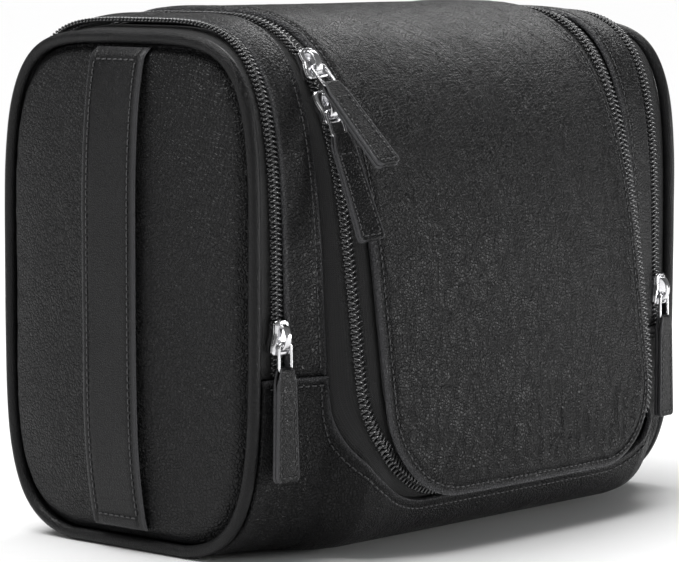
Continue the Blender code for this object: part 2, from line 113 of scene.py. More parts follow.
WIRE = 0.0006
LINK_LENGTH = 0.0095
LINK_HALF_WIDTH = 0.0027
PULL_LENGTH = 0.0375
PULL_THICK = 0.0030
PULL_NARROW = 0.0041
PULL_WIDE = 0.0050
PULL_STITCH_INSET = 0.0015
PULL_END_STITCH = 0.0018
SLIDER_HALF = 0.0060        # half a slider's length
SLIDER_HEIGHTS = {"left_side": 0.0782, "right_side": 0.0782, "upper_main": 0.1680, "lower_main": 0.1540}

# |x|, half depth, lean of the front, roundness above and below the middle, height of the top
BODY_SECTIONS = np.array((
    (0.0728, 0.0782, 0.130, 3.4, 4.8, 0.1866),
    (0.0795, 0.0752, 0.135, 3.6, 4.8, 0.1864),
    (0.0866, 0.0672, 0.065, 3.8, 4.6, 0.1856),
    (0.1054, 0.0625, 0.012, 4.0, 4.3, 0.1840),
    (0.1150, 0.0632, -0.007, 4.6, 4.1, 0.1800),
))
LID_SECTION = (0.0801, 0.130, 3.0, 9.0, 0.1875)
LID_SWELL = 0.0025
REST_FLAT = 0.0008
BACK_DEPTH = 0.0615
BACK_ROUND = 4.3

# ---- finish ----
MAIN_COIL_SINK = 0.0006  # the main zip's coil lies lower, clear of the lid over its lower run
STITCH_PITCH = 0.0026
STITCH_INSET = 0.0030
SIDE_TOOTH_PITCH = 0.00172
MAIN_TOOTH_PITCH = 0.00192
COIL_MARGIN = 0.0006    # from a zip's end to its first tooth
TAPE_STEPS = (0.0002, 0.003, 0.0058, 0.0068)  # lines along the main zip's tape, from its middle outwards
BLEND_REACH = 0.008     # half the length round a side's fold, kept in FOLD_BENDS
LID_BEND_BEHIND = 0.001
LID_BEND_AHEAD = 0.021
HINGE_REACH = 0.003     # half the height round the lid's hinge, kept in FOLD_BENDS


# ---- the body form ----
def lengths_along(points):
    """The length of a line of points up to each of them."""
    return np.concatenate([[0.0], np.cumsum(np.linalg.norm(np.diff(points, axis=0), axis=1))])


def half_section(side, depth, lean, above, below, top):
    """One half of a cross-section, from the bottom centre to the top centre, as (y, z)."""
    angle = np.linspace(-math.pi / 2, math.pi / 2, 1201)
    power = np.where(angle > 0, 2 / above, 2 / below)
    lift = np.sign(angle) * np.abs(np.sin(angle)) ** power
    spread = np.clip(np.cos(angle), 0, 1) ** power
    z = MID + np.where(lift > 0, lift * (top - MID), lift * MID)
    y = side * (depth + lean * (MID - z)) * spread
    return np.stack([y, z], axis=1)


@lru_cache(maxsize=None)
def section(x, lid=False):
    """The cross-section at x: points round it from the bottom centre, and the length up to each."""
    if lid:
        depth, lean, above, below, top = LID_SECTION
        depth += LID_SWELL * (1 - (x / LID_X) ** 2)
    else:
        stations, rows = BODY_SECTIONS[:, 0], BODY_SECTIONS[:, 1:].T
        depth, lean, above, below, top = (np.interp(abs(x), stations, row) for row in rows)
    front = half_section(-1, depth, lean, above, below, top)
    back = half_section(1, BACK_DEPTH, 0.0, BACK_ROUND, below, top)
    points = np.concatenate([front, back[-2::-1]])
    return points, lengths_along(points)


def length_at(x, mark, lid=False):
    """How far round the cross-section a mark is. A mark is ("front", z), ("back", z) or ("top", y)."""
    points, lengths = section(x, lid)
    half = len(points) // 2
    place, value = mark
    if place == "front":
        return float(np.interp(value, points[: half + 1, 1], lengths[: half + 1]))
    if place == "back":
        return float(np.interp(value, points[:half:-1, 1], lengths[:half:-1]))
    upper = slice(half // 2, half + half // 2)
    return float(np.interp(value, points[upper, 0], lengths[upper]))


def on_form(x, distances, lid=False):
    """Points on the form at x, these distances round the cross-section, and the directions out of it."""
    points, lengths = section(x, lid)
    reach = 0.0010

    def at(distance):
        wrapped = np.mod(distance, lengths[-1])
        return np.stack([np.interp(wrapped, lengths, points[:, k]) for k in (0, 1)], axis=-1)

    distances = np.atleast_1d(np.asarray(distances, float))
    here = at(distances)
    along = at(distances + reach) - at(distances - reach)
    along /= np.linalg.norm(along, axis=1)[:, None]
    z = np.maximum(here[:, 1] - REST_FLAT * np.maximum(1 - here[:, 1] / MID, 0), 0)
    place = np.stack([np.full(len(z), x), here[:, 0], z], axis=1)
    out = np.stack([np.zeros(len(z)), -along[:, 1], along[:, 0]], axis=1)
    return place, out


EDGE_OFFSETS = np.array([0, 0.15, 0.4, 0.8, 1.3, 1.9, 2.4, 2.7, 3.0, 3.3, 3.6, 4.2]) * 0.001


def spaced(total, count):
    """Places from 0 to total, closer together at both ends, where edges roll over and stitches sink in."""
    middle = np.linspace(EDGE_OFFSETS[-1], total - EDGE_OFFSETS[-1], count)[1:-1]
    return np.concatenate([EDGE_OFFSETS, middle, total - EDGE_OFFSETS[::-1]])


def form_grid(columns, start, end, count, lid=False):
    """A grid over the form, a column at each x: its points, its outward directions, and how far each
    point is from the start and from the end."""
    places, outs, passed, left = [], [], [], []
    for x in columns:
        first, last = (length_at(x, mark(x) if callable(mark) else mark, lid) for mark in (start, end))
        if last < first:
            last += section(x, lid)[1][-1]
        steps = spaced(last - first, count)
        place, out = on_form(x, first + steps, lid)
        places.append(place)
        outs.append(out)
        passed.append(steps)
        left.append(last - first - steps)
    return tuple(np.stack(part, axis=1) for part in (places, outs, passed, left))


def rounded_low_edge(x, half_width, low, turn):
    """Height of an edge with round corners: the lid's lower edge, or the cut round the main zip."""
    past = abs(x) - (half_width - turn)
    if past <= 0:
        return low
    return low + turn - math.sqrt(max(turn ** 2 - past ** 2, 0.0))


def inside_u(x, z, half_width, low, turn):
    """How far inside a U a point is: the distance to its sides, its lower edge and its round corners."""
    right = np.abs(x) - (half_width - turn)
    down = (low + turn) - z
    corner = turn - np.hypot(np.maximum(right, 0), np.maximum(down, 0))
    return np.where((right > 0) & (down > 0), corner, turn - np.maximum(right, down))


def low_mark(half_width, low, turn):
    """What form_grid needs to follow a lower edge with round corners: a mark for each x."""
    return lambda x: ("front", rounded_low_edge(x, half_width, low, turn))


def chained(parts):
    """Several (points, directions) pairs as one."""
    return np.concatenate([p for p, _ in parts]), np.concatenate([o for _, o in parts])


def u_line(half_width, low, turn, top, lid=False, uprights=250, corners=40, across=50):
    """Points and outward directions along a U: down its left side from a mark, along its lower edge
    and up its right side."""
    centre_x, centre_z = half_width - turn, low + turn
    first = length_at(-half_width, ("front", centre_z), lid)
    last = length_at(-half_width, top, lid)
    places, outs = on_form(-half_width, np.linspace(last, first, uprights), lid)
    parts = [(places[:-1], outs[:-1])]
    for turned in np.linspace(0, math.pi / 2, corners):
        x = -(centre_x + turn * math.cos(turned))
        z = centre_z - turn * math.sin(turned)
        parts.append(on_form(x, length_at(x, ("front", z), lid), lid))
    for x in np.linspace(-centre_x, 0, across // 2)[1:]:
        parts.append(on_form(x, length_at(x, ("front", low), lid), lid))
    places, outs = chained(parts)
    mirror = np.array([-1.0, 1.0, 1.0])
    return np.concatenate([places, places[-2::-1] * mirror]), np.concatenate([outs, outs[-2::-1] * mirror])


# ---- meshes ----
def make_object(name, verts, faces, material, uv=None, edge=None, smooth=True):
    """A mesh object. uv is each vertex's place across and along the cloth in metres, and edge says how near
    an edge it is, from 0 to 1, where leather gets a painted highlight and wear."""
    mesh = bpy.data.meshes.new(name)
    mesh.from_pydata(np.asarray(verts, float).tolist(), [], [tuple(f) for f in faces])
    if uv is not None:
        layer = mesh.uv_layers.new(name="cloth")
        index = np.zeros(len(mesh.loops), np.int32)
        mesh.loops.foreach_get("vertex_index", index)
        layer.data.foreach_set("uv", np.asarray(uv, np.float32)[index].ravel())
    if edge is not None:
        attribute = mesh.attributes.new("edge", "FLOAT", "POINT")
        attribute.data.foreach_set("value", np.asarray(edge, np.float32))
    shape = bmesh.new()
    shape.from_mesh(mesh)
    bmesh.ops.recalc_face_normals(shape, faces=shape.faces)
    shape.to_mesh(mesh)
    shape.free()
    if smooth:
        mesh.shade_smooth()
    mesh.materials.append(material)
    obj = bpy.data.objects.new(name, mesh)
    bpy.context.scene.collection.objects.link(obj)
    return obj


def grid_faces(rows, cols, wrap=False):
    r, c = np.meshgrid(np.arange(rows - 1), np.arange(cols if wrap else cols - 1), indexing="ij")
    a = r * cols + c
    b = r * cols + (c + 1) % cols
    return np.stack([a, b, b + cols, a + cols], axis=-1).reshape(-1, 4)


def slab(name, outer, inner, material, edge=None, wrap=False):
    """A closed panel between two matching grids of points."""
    rows, cols = outer.shape[:2]
    count = rows * cols
    faces = grid_faces(rows, cols, wrap)
    faces = [tuple(f) for f in faces] + [tuple(f[::-1]) for f in faces + count]
    if wrap:
        loops = [[(rows - 1) * cols + c for c in range(cols)]]
        faces.append(tuple(range(cols)))
        faces.append(tuple(count + c for c in reversed(range(cols))))
    else:
        rim = [(0, c) for c in range(cols)] + [(r, cols - 1) for r in range(1, rows)]
        rim += [(rows - 1, c) for c in range(cols - 2, -1, -1)] + [(r, 0) for r in range(rows - 2, 0, -1)]
        loops = [[r * cols + c for r, c in rim]]
    for loop in loops:
        for i, a in enumerate(loop):
            b = loop[(i + 1) % len(loop)]
            faces.append((b, a, count + a, count + b))
    verts = np.concatenate([outer.reshape(-1, 3), inner.reshape(-1, 3)])
    across, along = lengths_along(outer[rows // 2]), lengths_along(outer[:, cols // 2])
    flat = np.stack(np.meshgrid(across, along), axis=-1).reshape(-1, 2)
    edges = None if edge is None else np.concatenate([edge.ravel(), edge.ravel()])
    return make_object(name, verts, faces, material, np.concatenate([flat, flat]), edges)


def roll(distance, radius):
    """How far a folded edge has turned down at a distance from its end."""
    inside = radius - np.clip(distance, 0, radius)
    return radius - np.sqrt(np.maximum(radius ** 2 - inside ** 2, 0))


def groove(distance, depth=0.00035, half_width=0.0007):
    """The dent that a row of stitches pulls into leather."""
    return depth * np.exp(-(distance / half_width) ** 2)


# How strongly an edge's painted highlight and wear show, falling off with distance from the edge
def highlight_and_wear_falloff(distance, reach=0.0009):
    return np.exp(-(np.maximum(distance, 0) / reach) ** 2)


def panel(name, grid, edge_distance, lift, thick, material):
    """Leather over a grid, with its edges rolled over."""
    places, outs = grid
    turned = roll(edge_distance, thick / 2)
    outer = places + outs * (lift - turned)[..., None]
    inner = places - outs * (thick - 0.9 * turned)[..., None]
    # The edge colour is a painted highlight with wear along the rolled edges
    return slab(name, outer, inner, material, highlight_and_wear_falloff(edge_distance))


def wavy(points, scale, seed):
    """Smooth noise at each point, from -1 to 1. scale is waves per metre along each axis."""
    flat = points.reshape(-1, 3) * np.asarray(scale, float) + seed
    values = [noise.noise(Vector(p)) for p in flat]
    return np.array(values).reshape(points.shape[:-1])


def ring(wide, high, sides):
    """An oval cross-section for a tube."""
    turned = np.linspace(0, 2 * math.pi, sides, endpoint=False)
    return np.stack([wide * np.cos(turned), high * np.sin(turned)], axis=1)


def box_ring(half_wide, half_high, corner):
    """A rectangular cross-section with bevelled corners."""
    a, b = half_wide - corner, half_high - corner
    return np.array([(half_wide, -b), (half_wide, b), (a, half_high), (-a, half_high),
                     (-half_wide, b), (-half_wide, -b), (-a, -half_high), (a, -half_high)])


def tube(path, cross, closed=False, side=(1, 0, 0), sizes=None):
    """Vertices and faces of a tube along a path. sizes scales its cross-section at each point."""
    path = np.asarray(path, float)
    count, sides = len(path), len(cross)
    sizes = np.ones(count) if sizes is None else np.asarray(sizes, float)
    side = Vector(side)
    verts = []
    for i in range(count):
        before = path[i - 1] if closed or i else path[i]
        after = path[(i + 1) % count] if closed or i < count - 1 else path[i]
        along = Vector(after - before).normalized()
        side = (side - along * side.dot(along)).normalized()
        up = along.cross(side)
        frame_here = np.array([side, up])
        verts.append(path[i] + (cross * sizes[i]) @ frame_here)
    verts = np.concatenate(verts)
    faces = []
    for i in range(count if closed else count - 1):
        a, b = i * sides, (i + 1) % count * sides
        faces += [(a + j, a + (j + 1) % sides, b + (j + 1) % sides, b + j) for j in range(sides)]
    if not closed:
        faces.append(tuple(range(sides)))
        faces.append(tuple((count - 1) * sides + j for j in range(sides)))
    return verts, faces


def joined(parts):
    """Several closed shapes as one list of vertices and faces."""
    verts, faces, start = [], [], 0
    for part_verts, part_faces in parts:
        verts.append(np.asarray(part_verts, float))
        faces += [tuple(start + i for i in face) for face in part_faces]
        start += len(part_verts)
    return np.concatenate(verts), faces


def moved(shape, matrix):
    verts, faces = shape
    matrix = np.array(matrix)
    return np.asarray(verts) @ matrix[:3, :3].T + matrix[:3, 3], faces


def frame_at(side, up, out, place):
    """A matrix with these directions as its axes and this place as its origin."""
    matrix = Matrix((side, up, out)).transposed().to_4x4()
    matrix.translation = Vector(place)
    return matrix


def frames_along(points, outs, pitch, margin=0.0):
    """Evenly spaced frames on a line: their places, sideways, forward and outward directions."""
    steps = lengths_along(points)

    def at(values, length):
        return np.stack([np.interp(length, steps, values[:, k]) for k in range(3)], axis=1)

    count = max(int((steps[-1] - 2 * margin) / pitch), 1)
    wanted = margin + (np.arange(count) + 0.5) * (steps[-1] - 2 * margin) / count
    place, out = at(points, wanted), at(outs, wanted)
    forward = at(points, wanted + pitch / 2) - at(points, wanted - pitch / 2)
    forward /= np.linalg.norm(forward, axis=1)[:, None]
    sideways = np.cross(forward, out)
    sideways /= np.linalg.norm(sideways, axis=1)[:, None]
    return place, sideways, forward, np.cross(sideways, forward)


def stamp(name, template, frames, material):
    """Copies of one small shape, one at each frame, as one object."""
    shape, shape_faces = template
    place, sideways, forward, out = (part[:, None, :] for part in frames)
    x, y, z = (shape[None, :, k : k + 1] for k in range(3))
    verts = place + x * sideways + y * forward + z * out
    size = len(shape)
    faces = [tuple(i * size + k for k in face) for i in range(len(verts)) for face in shape_faces]
    return make_object(name, verts.reshape(-1, 3), faces, material)


def stitch_shape():
    """One stitch: thread that comes up out of the leather and goes back in."""
    half = 0.00092
    into_leather, near_top, top = -0.0004, 0.00008, 0.0002
    path = [(0, -half, into_leather), (0, -half * 0.8, near_top), (0, 0, top),
            (0, half * 0.8, near_top), (0, half, into_leather)]
    return tube(path, ring(0.0003, 0.00024, 6))


def tooth_shape(reach, slant):
    """One turn of a zip's coil: a bar over the top, the head past the middle, and the bar's return."""
    thick = 0.00040
    outer, top, low = reach - thick, 0.0003 - thick, -0.0013 + thick
    half_way = (top + low) / 2
    path = [
        (outer, slant, half_way),
        (outer - 0.0003, slant * 0.9, top),
        (0.0010, slant * 0.35, top),
        (0.0001, 0.0, top - 0.00005),
        (-0.00050, 0.0, half_way),
        (0.0001, 0.0, low),
        (outer, -slant * 0.3, low),
    ]
    sizes = [0.9, 1.0, 1.0, 1.35, 1.3, 1.1, 0.8]
    return tube(path, ring(thick, thick, 6), side=(0, 1, 0), sizes=sizes)


# ---- materials ----
def new_material(name):
    material = bpy.data.materials.new(name)
    material.use_nodes = True
    return material, material.node_tree, material.node_tree.nodes["Principled BSDF"]


def add(tree, kind, inputs=None, **settings):
    """A node with its settings and inputs. An input is a value, or a socket to link from."""
    node = tree.nodes.new(kind)
    for key, value in settings.items():
        setattr(node, key, value)
    for key, value in (inputs or {}).items():
        if isinstance(value, bpy.types.NodeSocket):
            tree.links.new(value, node.inputs[key])
        else:
            node.inputs[key].default_value = value
    return node


def maths(tree, operation, *values):
    return add(tree, "ShaderNodeMath", dict(enumerate(values)), operation=operation).outputs[0]


def vector_maths(tree, operation, *values):
    return add(tree, "ShaderNodeVectorMath", dict(enumerate(values)), operation=operation).outputs["Vector"]


def object_place(tree):
    return add(tree, "ShaderNodeTexCoord").outputs["Object"]


def ranged(tree, value, low, high, to_low, to_high):
    inputs = {"Value": value, "From Min": low, "From Max": high, "To Min": to_low, "To Max": to_high}
    return add(tree, "ShaderNodeMapRange", inputs, interpolation_type="SMOOTHSTEP").outputs["Result"]


def noise_value(tree, place, scale, detail=2.0, distortion=0.0):
    inputs = {"Vector": place, "Scale": scale, "Detail": detail, "Distortion": distortion}
    return add(tree, "ShaderNodeTexNoise", inputs).outputs["Fac"]


def mixed(tree, share, first, second):
    first, second = (c if isinstance(c, bpy.types.NodeSocket) else (*c, 1.0) for c in (first, second))
    inputs = {"Factor": share, "A": first, "B": second}
    node = tree.nodes.new("ShaderNodeMix")
    node.data_type = "RGBA"
    sockets = {"Factor": node.inputs[0], "A": node.inputs[6], "B": node.inputs[7]}
    for key, value in inputs.items():
        if isinstance(value, bpy.types.NodeSocket):
            tree.links.new(value, sockets[key])
        else:
            sockets[key].default_value = value
    return node.outputs[2]


def bumped(tree, shader, height, distance, strength=1.0):
    node = add(tree, "ShaderNodeBump", {"Height": height, "Distance": distance, "Strength": strength})
    tree.links.new(node.outputs["Normal"], shader.inputs["Normal"])


def feed(tree, shader, colour, roughness):
    """Links what drives a shader's colour and its roughness."""
    tree.links.new(colour, shader.inputs["Base Color"])
    tree.links.new(roughness, shader.inputs["Roughness"])


def leather(name, colour, roughness, grain=0.0010, depth=0.00050, crease=0.5, stretch=(1, 1, 1)):
    """Black full-grain leather: pebbles about `grain` metres across, pores, and stretch creases."""
    material, tree, shader = new_material(name)
    place = object_place(tree)
    drift = add(tree, "ShaderNodeTexNoise", {"Vector": place, "Scale": 0.3 / grain, "Detail": 2.0})
    drifted = vector_maths(tree, "MULTIPLY_ADD", drift.outputs["Color"], (1.1 * grain,) * 3, place)
    inputs = {"Vector": drifted, "Scale": 1 / grain}
    cells = add(tree, "ShaderNodeTexVoronoi", inputs, feature="DISTANCE_TO_EDGE").outputs["Distance"]
    pebble = ranged(tree, cells, 0.0, 0.26, 0.0, 1.0)
    pores = noise_value(tree, place, 3.2 / grain, 1.0)
    fold = noise_value(tree, vector_maths(tree, "MULTIPLY", drifted, stretch), 0.13 / grain, 3.0, 0.4)
    off_middle = maths(tree, "ABSOLUTE", maths(tree, "SUBTRACT", fold, 0.5))
    creases = ranged(tree, off_middle, 0.0, 0.045, 1.0, 0.0)
    height = maths(tree, "MULTIPLY_ADD", creases, -crease, pebble)
    height = maths(tree, "MULTIPLY_ADD", pores, 0.35, height)
    bumped(tree, shader, height, depth)
    mottle = noise_value(tree, place, 55.0, 3.0)
    near_edge = add(tree, "ShaderNodeAttribute", attribute_name="edge").outputs["Fac"]
    # Colour over the grain: random mottle, plus painted shade in the grain's creases and painted highlight
    # on the pebble tops
    tone = maths(tree, "MULTIPLY", mottle, pebble)
    lighter = tuple(2.4 * c + 0.004 for c in colour)
    # Lighter colour along rolled edges: a painted highlight on the edge, with rubbed wear
    edge_highlight_and_wear = tuple(9.0 * c + 0.020 for c in colour)
    body = mixed(tree, tone, colour, lighter)
    polish = ranged(tree, mottle, 0.3, 0.7, roughness - 0.05, roughness + 0.06)
    polish = maths(tree, "MULTIPLY_ADD", near_edge, -0.06, polish)
    polish = maths(tree, "MULTIPLY_ADD", creases, 0.08, polish)
    feed(tree, shader, mixed(tree, near_edge, body, edge_highlight_and_wear), polish)
    shader.inputs["Specular IOR Level"].default_value = 0.21
    return material


def cloth_place(tree):
    parts = add(tree, "ShaderNodeSeparateXYZ", {0: add(tree, "ShaderNodeTexCoord").outputs["UV"]})
    return parts.outputs["X"], parts.outputs["Y"]


def wave_of(tree, value, length):
    """A smooth wave of this length in metres, from -1 to 1."""
    return maths(tree, "SINE", maths(tree, "MULTIPLY", value, 2 * math.pi / length))


def woven(name, colour, rib, twill, depth, roughness):
    """Woven cloth: ribs along it, crossed by a twill line, with uneven yarn."""
    material, tree, shader = new_material(name)
    across, along = cloth_place(tree)
    ribs = wave_of(tree, across, rib)
    slope = maths(tree, "MULTIPLY", maths(tree, "ABSOLUTE", ribs), rib * 0.5)
    lines = wave_of(tree, maths(tree, "ADD", along, slope), twill)
    place = object_place(tree)
    yarn = noise_value(tree, place, 2500.0, 2.0)
    height = maths(tree, "MULTIPLY_ADD", ribs, 0.5, maths(tree, "MULTIPLY_ADD", yarn, 0.8, lines))
    bumped(tree, shader, height, depth)
    tone = ranged(tree, maths(tree, "MULTIPLY_ADD", lines, 0.4, yarn), 0.1, 1.0, 0.0, 1.0)
    lighter = tuple(2.6 * c + 0.003 for c in colour)
    polish = ranged(tree, yarn, 0.3, 0.7, roughness - 0.06, roughness + 0.06)
    feed(tree, shader, mixed(tree, tone, colour, lighter), polish)
    shader.inputs["Sheen Weight"].default_value = 0.15
    shader.inputs["Sheen Roughness"].default_value = 0.5
    return material


def moulded(name, colour, roughness, gloss=0.5):
    """Nylon monofilament or waxed thread: smooth, with slight unevenness."""
    material, tree, shader = new_material(name)
    place = object_place(tree)
    uneven = noise_value(tree, place, 900.0, 2.0)
    polish = ranged(tree, uneven, 0.3, 0.7, roughness - 0.04, roughness + 0.08)
    feed(tree, shader, mixed(tree, uneven, colour, tuple(2.2 * c for c in colour)), polish)
    bumped(tree, shader, uneven, 0.00005)
    shader.inputs["Specular IOR Level"].default_value = gloss
    return material


def plated(name):
    """Polished nickel plate over die-cast zinc: faint orange peel, fine scratches, duller in patches."""
    material, tree, shader = new_material(name)
    shader.inputs["Metallic"].default_value = 1.0
    place = object_place(tree)
    patches = noise_value(tree, place, 300.0, 3.0)
    scratches = noise_value(tree, vector_maths(tree, "MULTIPLY", place, (1, 12, 3)), 900.0, 4.0)
    nickel = mixed(tree, patches, (0.62, 0.62, 0.64), (0.86, 0.86, 0.87))
    feed(tree, shader, nickel, ranged(tree, patches, 0.3, 0.7, 0.10, 0.24))
    bumped(tree, shader, maths(tree, "ADD", scratches, patches), 0.00002)
    return material


BLACK = (0.0060, 0.0060, 0.0064)
PANEL_LEATHER = leather("panel_leather", BLACK, 0.36, grain=0.0013, depth=0.00022)
LID_LEATHER = leather("lid_leather", BLACK, 0.34, grain=0.0011, depth=0.00030, crease=0.9,
                      stretch=(1.7, 1.0, 0.8))
WRAP_LEATHER = leather("wrap_leather", BLACK, 0.37, grain=0.0011, depth=0.00028, crease=0.7,
                       stretch=(1.5, 1, 0.7))
TRIM_LEATHER = leather("trim_leather", BLACK, 0.33, grain=0.0008, depth=0.00008, crease=0.2)
PULL_LEATHER = leather("pull_leather", BLACK, 0.36, grain=0.0009, depth=0.00008, crease=0.3)
TAPE_CLOTH = woven("tape_cloth", (0.0065, 0.0065, 0.0070), 0.0011, 0.0007, 0.00012, 0.80)
LINING_CLOTH = woven("lining_cloth", (0.024, 0.024, 0.026), 0.0006, 0.0006, 0.00006, 0.72)
COIL_NYLON = moulded("coil_nylon", (0.030, 0.030, 0.031), 0.14, gloss=0.95)
THREAD = moulded("waxed_thread", (0.030, 0.030, 0.031), 0.38)
NICKEL = plated("nickel_plate")

FOLD_BENDS = {
    "left": ("bag", "left_flap", (0, 0, SEAM - BLEND_REACH), (0, 0, SEAM + BLEND_REACH)),
    "right": ("bag", "right_flap", (0, 0, SEAM - BLEND_REACH), (0, 0, SEAM + BLEND_REACH)),
    "lid": ("lid_top", "lid_front", (0, FOLD_Y + LID_BEND_BEHIND, 0), (0, FOLD_Y - LID_BEND_AHEAD, 0)),
    "hinge": ("bag", "lid_top", (0, 0, HINGE_HEIGHT - HINGE_REACH), (0, 0, HINGE_HEIGHT + HINGE_REACH)),
}


def settle(obj, body, slot, *nodes):
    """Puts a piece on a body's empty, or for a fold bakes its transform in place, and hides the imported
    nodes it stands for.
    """
    if body in FOLD_BENDS:
        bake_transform(obj)
    else:
        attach(obj, body)
    if nodes:
        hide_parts(*nodes)
    return obj


def stitches(name, line, body, sink=0.0002, margin=0.002):
    """A row of stitches along a line of points on the leather."""
    points, outs = line
    frames = frames_along(points - outs * sink, outs, STITCH_PITCH, margin)
    return settle(stamp(name, stitch_shape(), frames, THREAD), body, "leather")


# ---- end panels, piping, strap ----
RIM_DEPTH = 2 * PIPING_RADIUS + 0.0002
PANEL_CENTRE = 0.090


def end_swell(y, z):
    reach = (np.abs(y) / 0.0632) ** 4 + (np.abs(z - PANEL_CENTRE) / PANEL_CENTRE) ** 4
    return END_CROWN * (1 - np.minimum(reach, 1.0))


def end_outline(side, depth, count):
    """The outline of an end, all the way round."""
    x = side * PIPING_X
    total = section(x)[1][-1]
    place, out = on_form(x, np.linspace(0, total, count, endpoint=False))
    return place - out * depth, out


def end_profile(y, z, distance):
    """How far an end panel stands out, at this distance from its rim."""
    tuck = 0.0030 * np.exp(-(distance / 0.0026) ** 2)
    return end_swell(y, z) + 0.0004 - tuck


def end_panel(side, word):
    """The padded leather end: domed, and pulled into a deep groove beside the piping."""
    rim, _ = end_outline(side, RIM_DEPTH, 260)
    steps = np.concatenate([np.linspace(0.02, 0.80, 30), np.linspace(0.80, 1.0, 34)[1:] ** 0.9])
    centre = np.array([side * PIPING_X, 0.0, PANEL_CENTRE])
    grid = centre + (rim - centre)[None] * steps[:, None, None]
    reach = np.linalg.norm(rim - centre, axis=1)[None]
    distance = reach * (1 - steps[:, None])
    around = np.linspace(0, 2 * math.pi, len(rim), endpoint=False)
    beside_rim = (np.cos(around) * 19, np.sin(around) * 19, distance * 60)
    ruffle = np.stack(np.broadcast_arrays(*beside_rim), axis=-1)
    pulled = np.exp(-((distance - 0.004) / 0.006) ** 2)
    lift = end_profile(grid[..., 1], grid[..., 2], distance)
    lift = lift + 0.00028 * wavy(ruffle, 1.0, 7.0 + side) * pulled
    lift = lift + 0.0005 * wavy(grid, (30, 34, 17), 3.0 * side)
    outer = grid + np.array([side, 0, 0]) * lift[..., None]
    inner = outer - np.array([side * LEATHER, 0, 0])
    obj = slab(f"{word}_end_panel", outer, inner, PANEL_LEATHER, wrap=True)
    settle(obj, word, "leather", f"{word}_end_panel_upper", f"{word}_end_panel_lower")


def piping(side, word):
    """Smooth leather rolled round a cord, all the way round an end."""
    path, _ = end_outline(side, PIPING_RADIUS, 420)
    wobble = 1 + 0.035 * wavy(path, (60, 60, 60), 11.0 * side)
    verts, faces = tube(path, ring(PIPING_RADIUS, PIPING_RADIUS, 18), closed=True, sizes=wobble)
    obj = make_object(f"{word}_piping", verts, faces, TRIM_LEATHER)
    settle(obj, word, "leather", f"{word}_piping_upper", f"{word}_piping_lower")


def strap_face(z):
    """How far out the strap's inner face is, as it arches from one sewn end to the other."""
    middle, half = (STRAP_TOP + STRAP_LOW) / 2, (STRAP_TOP - STRAP_LOW) / 2
    slack = 1 - ((z - middle) / half) ** 4
    distance = np.minimum(z - RIM_DEPTH, 2 * PANEL_CENTRE - RIM_DEPTH - z)
    return PIPING_X + end_profile(0.0, z, distance) + 0.0006 + STRAP_STAND_OFF * slack


def strap_line(y, z):
    """A line for stitches on the strap's outer face: points and outward directions."""
    y, z = np.broadcast_arrays(y, z)
    points = np.stack([-(strap_face(z) + STRAP_THICK), y, z], axis=1)
    return points, np.tile((-1.0, 0.0, 0.0), (len(z), 1))


def grab_strap():
    heights = STRAP_LOW + spaced(STRAP_TOP - STRAP_LOW, 90)
    widths = -STRAP_HALF_WIDTH + spaced(2 * STRAP_HALF_WIDTH, 14)
    z, y = np.meshgrid(heights, widths, indexing="ij")
    places = np.stack([-(strap_face(z) + STRAP_THICK), y, z], axis=-1)
    outs = np.zeros_like(places)
    outs[..., 0] = -1
    sides = STRAP_HALF_WIDTH - np.abs(y)
    ends = np.minimum(z - STRAP_LOW, STRAP_TOP - z)
    lift = -groove(sides - STITCH_INSET) - groove(ends - STRAP_END_STITCH) * (sides > STITCH_INSET)
    thinned = 0.0003 * (sides < 0.0028) * np.clip((0.0028 - sides) / 0.0028, 0, 1)
    lift = lift + 0.00020 * wavy(places, (40, 60, 45), 5.0) - thinned
    edge = np.minimum(sides, ends + 0.0006)
    obj = panel("grab_strap", (places, outs), edge, lift, STRAP_THICK, TRIM_LEATHER)
    settle(obj, "left", "leather", "grab_strap_upper", "grab_strap_lower")
    heights = np.linspace(STRAP_LOW + 0.003, STRAP_TOP - 0.003, 200)
    widths = np.linspace(-STRAP_HALF_WIDTH + STITCH_INSET, STRAP_HALF_WIDTH - STITCH_INSET, 30)
    for y, word in ((widths[0], "front"), (widths[-1], "back")):
        stitches(f"strap_stitching_{word}", strap_line(y, heights), "left")
    for z, word in ((STRAP_LOW + STRAP_END_STITCH, "low"), (STRAP_TOP - STRAP_END_STITCH, "top")):
        stitches(f"strap_stitching_{word}", strap_line(widths, z), "left", margin=0.0005)


# ---- side zips, the strips beside them, and the leather below ----
def ribbon(name, lines, body, slot, material, *nodes):
    """A tape through several matching lines of points, each with its outward directions and its depth."""
    outer = np.stack([points - outs * depth for points, outs, depth in lines], axis=1)
    inner = np.stack([points - outs * (depth + TAPE_THICK) for points, outs, depth in lines], axis=1)
    return settle(slab(name, outer, inner, material), body, slot, *nodes)


def upright_line(x, count=330):
    """A line over the form at x, from the front seam over the top to the back seam."""
    first, last = length_at(x, ("front", SEAM + 0.0003)), length_at(x, ("back", SEAM + 0.0003))
    return on_form(x, np.linspace(first, last, count))


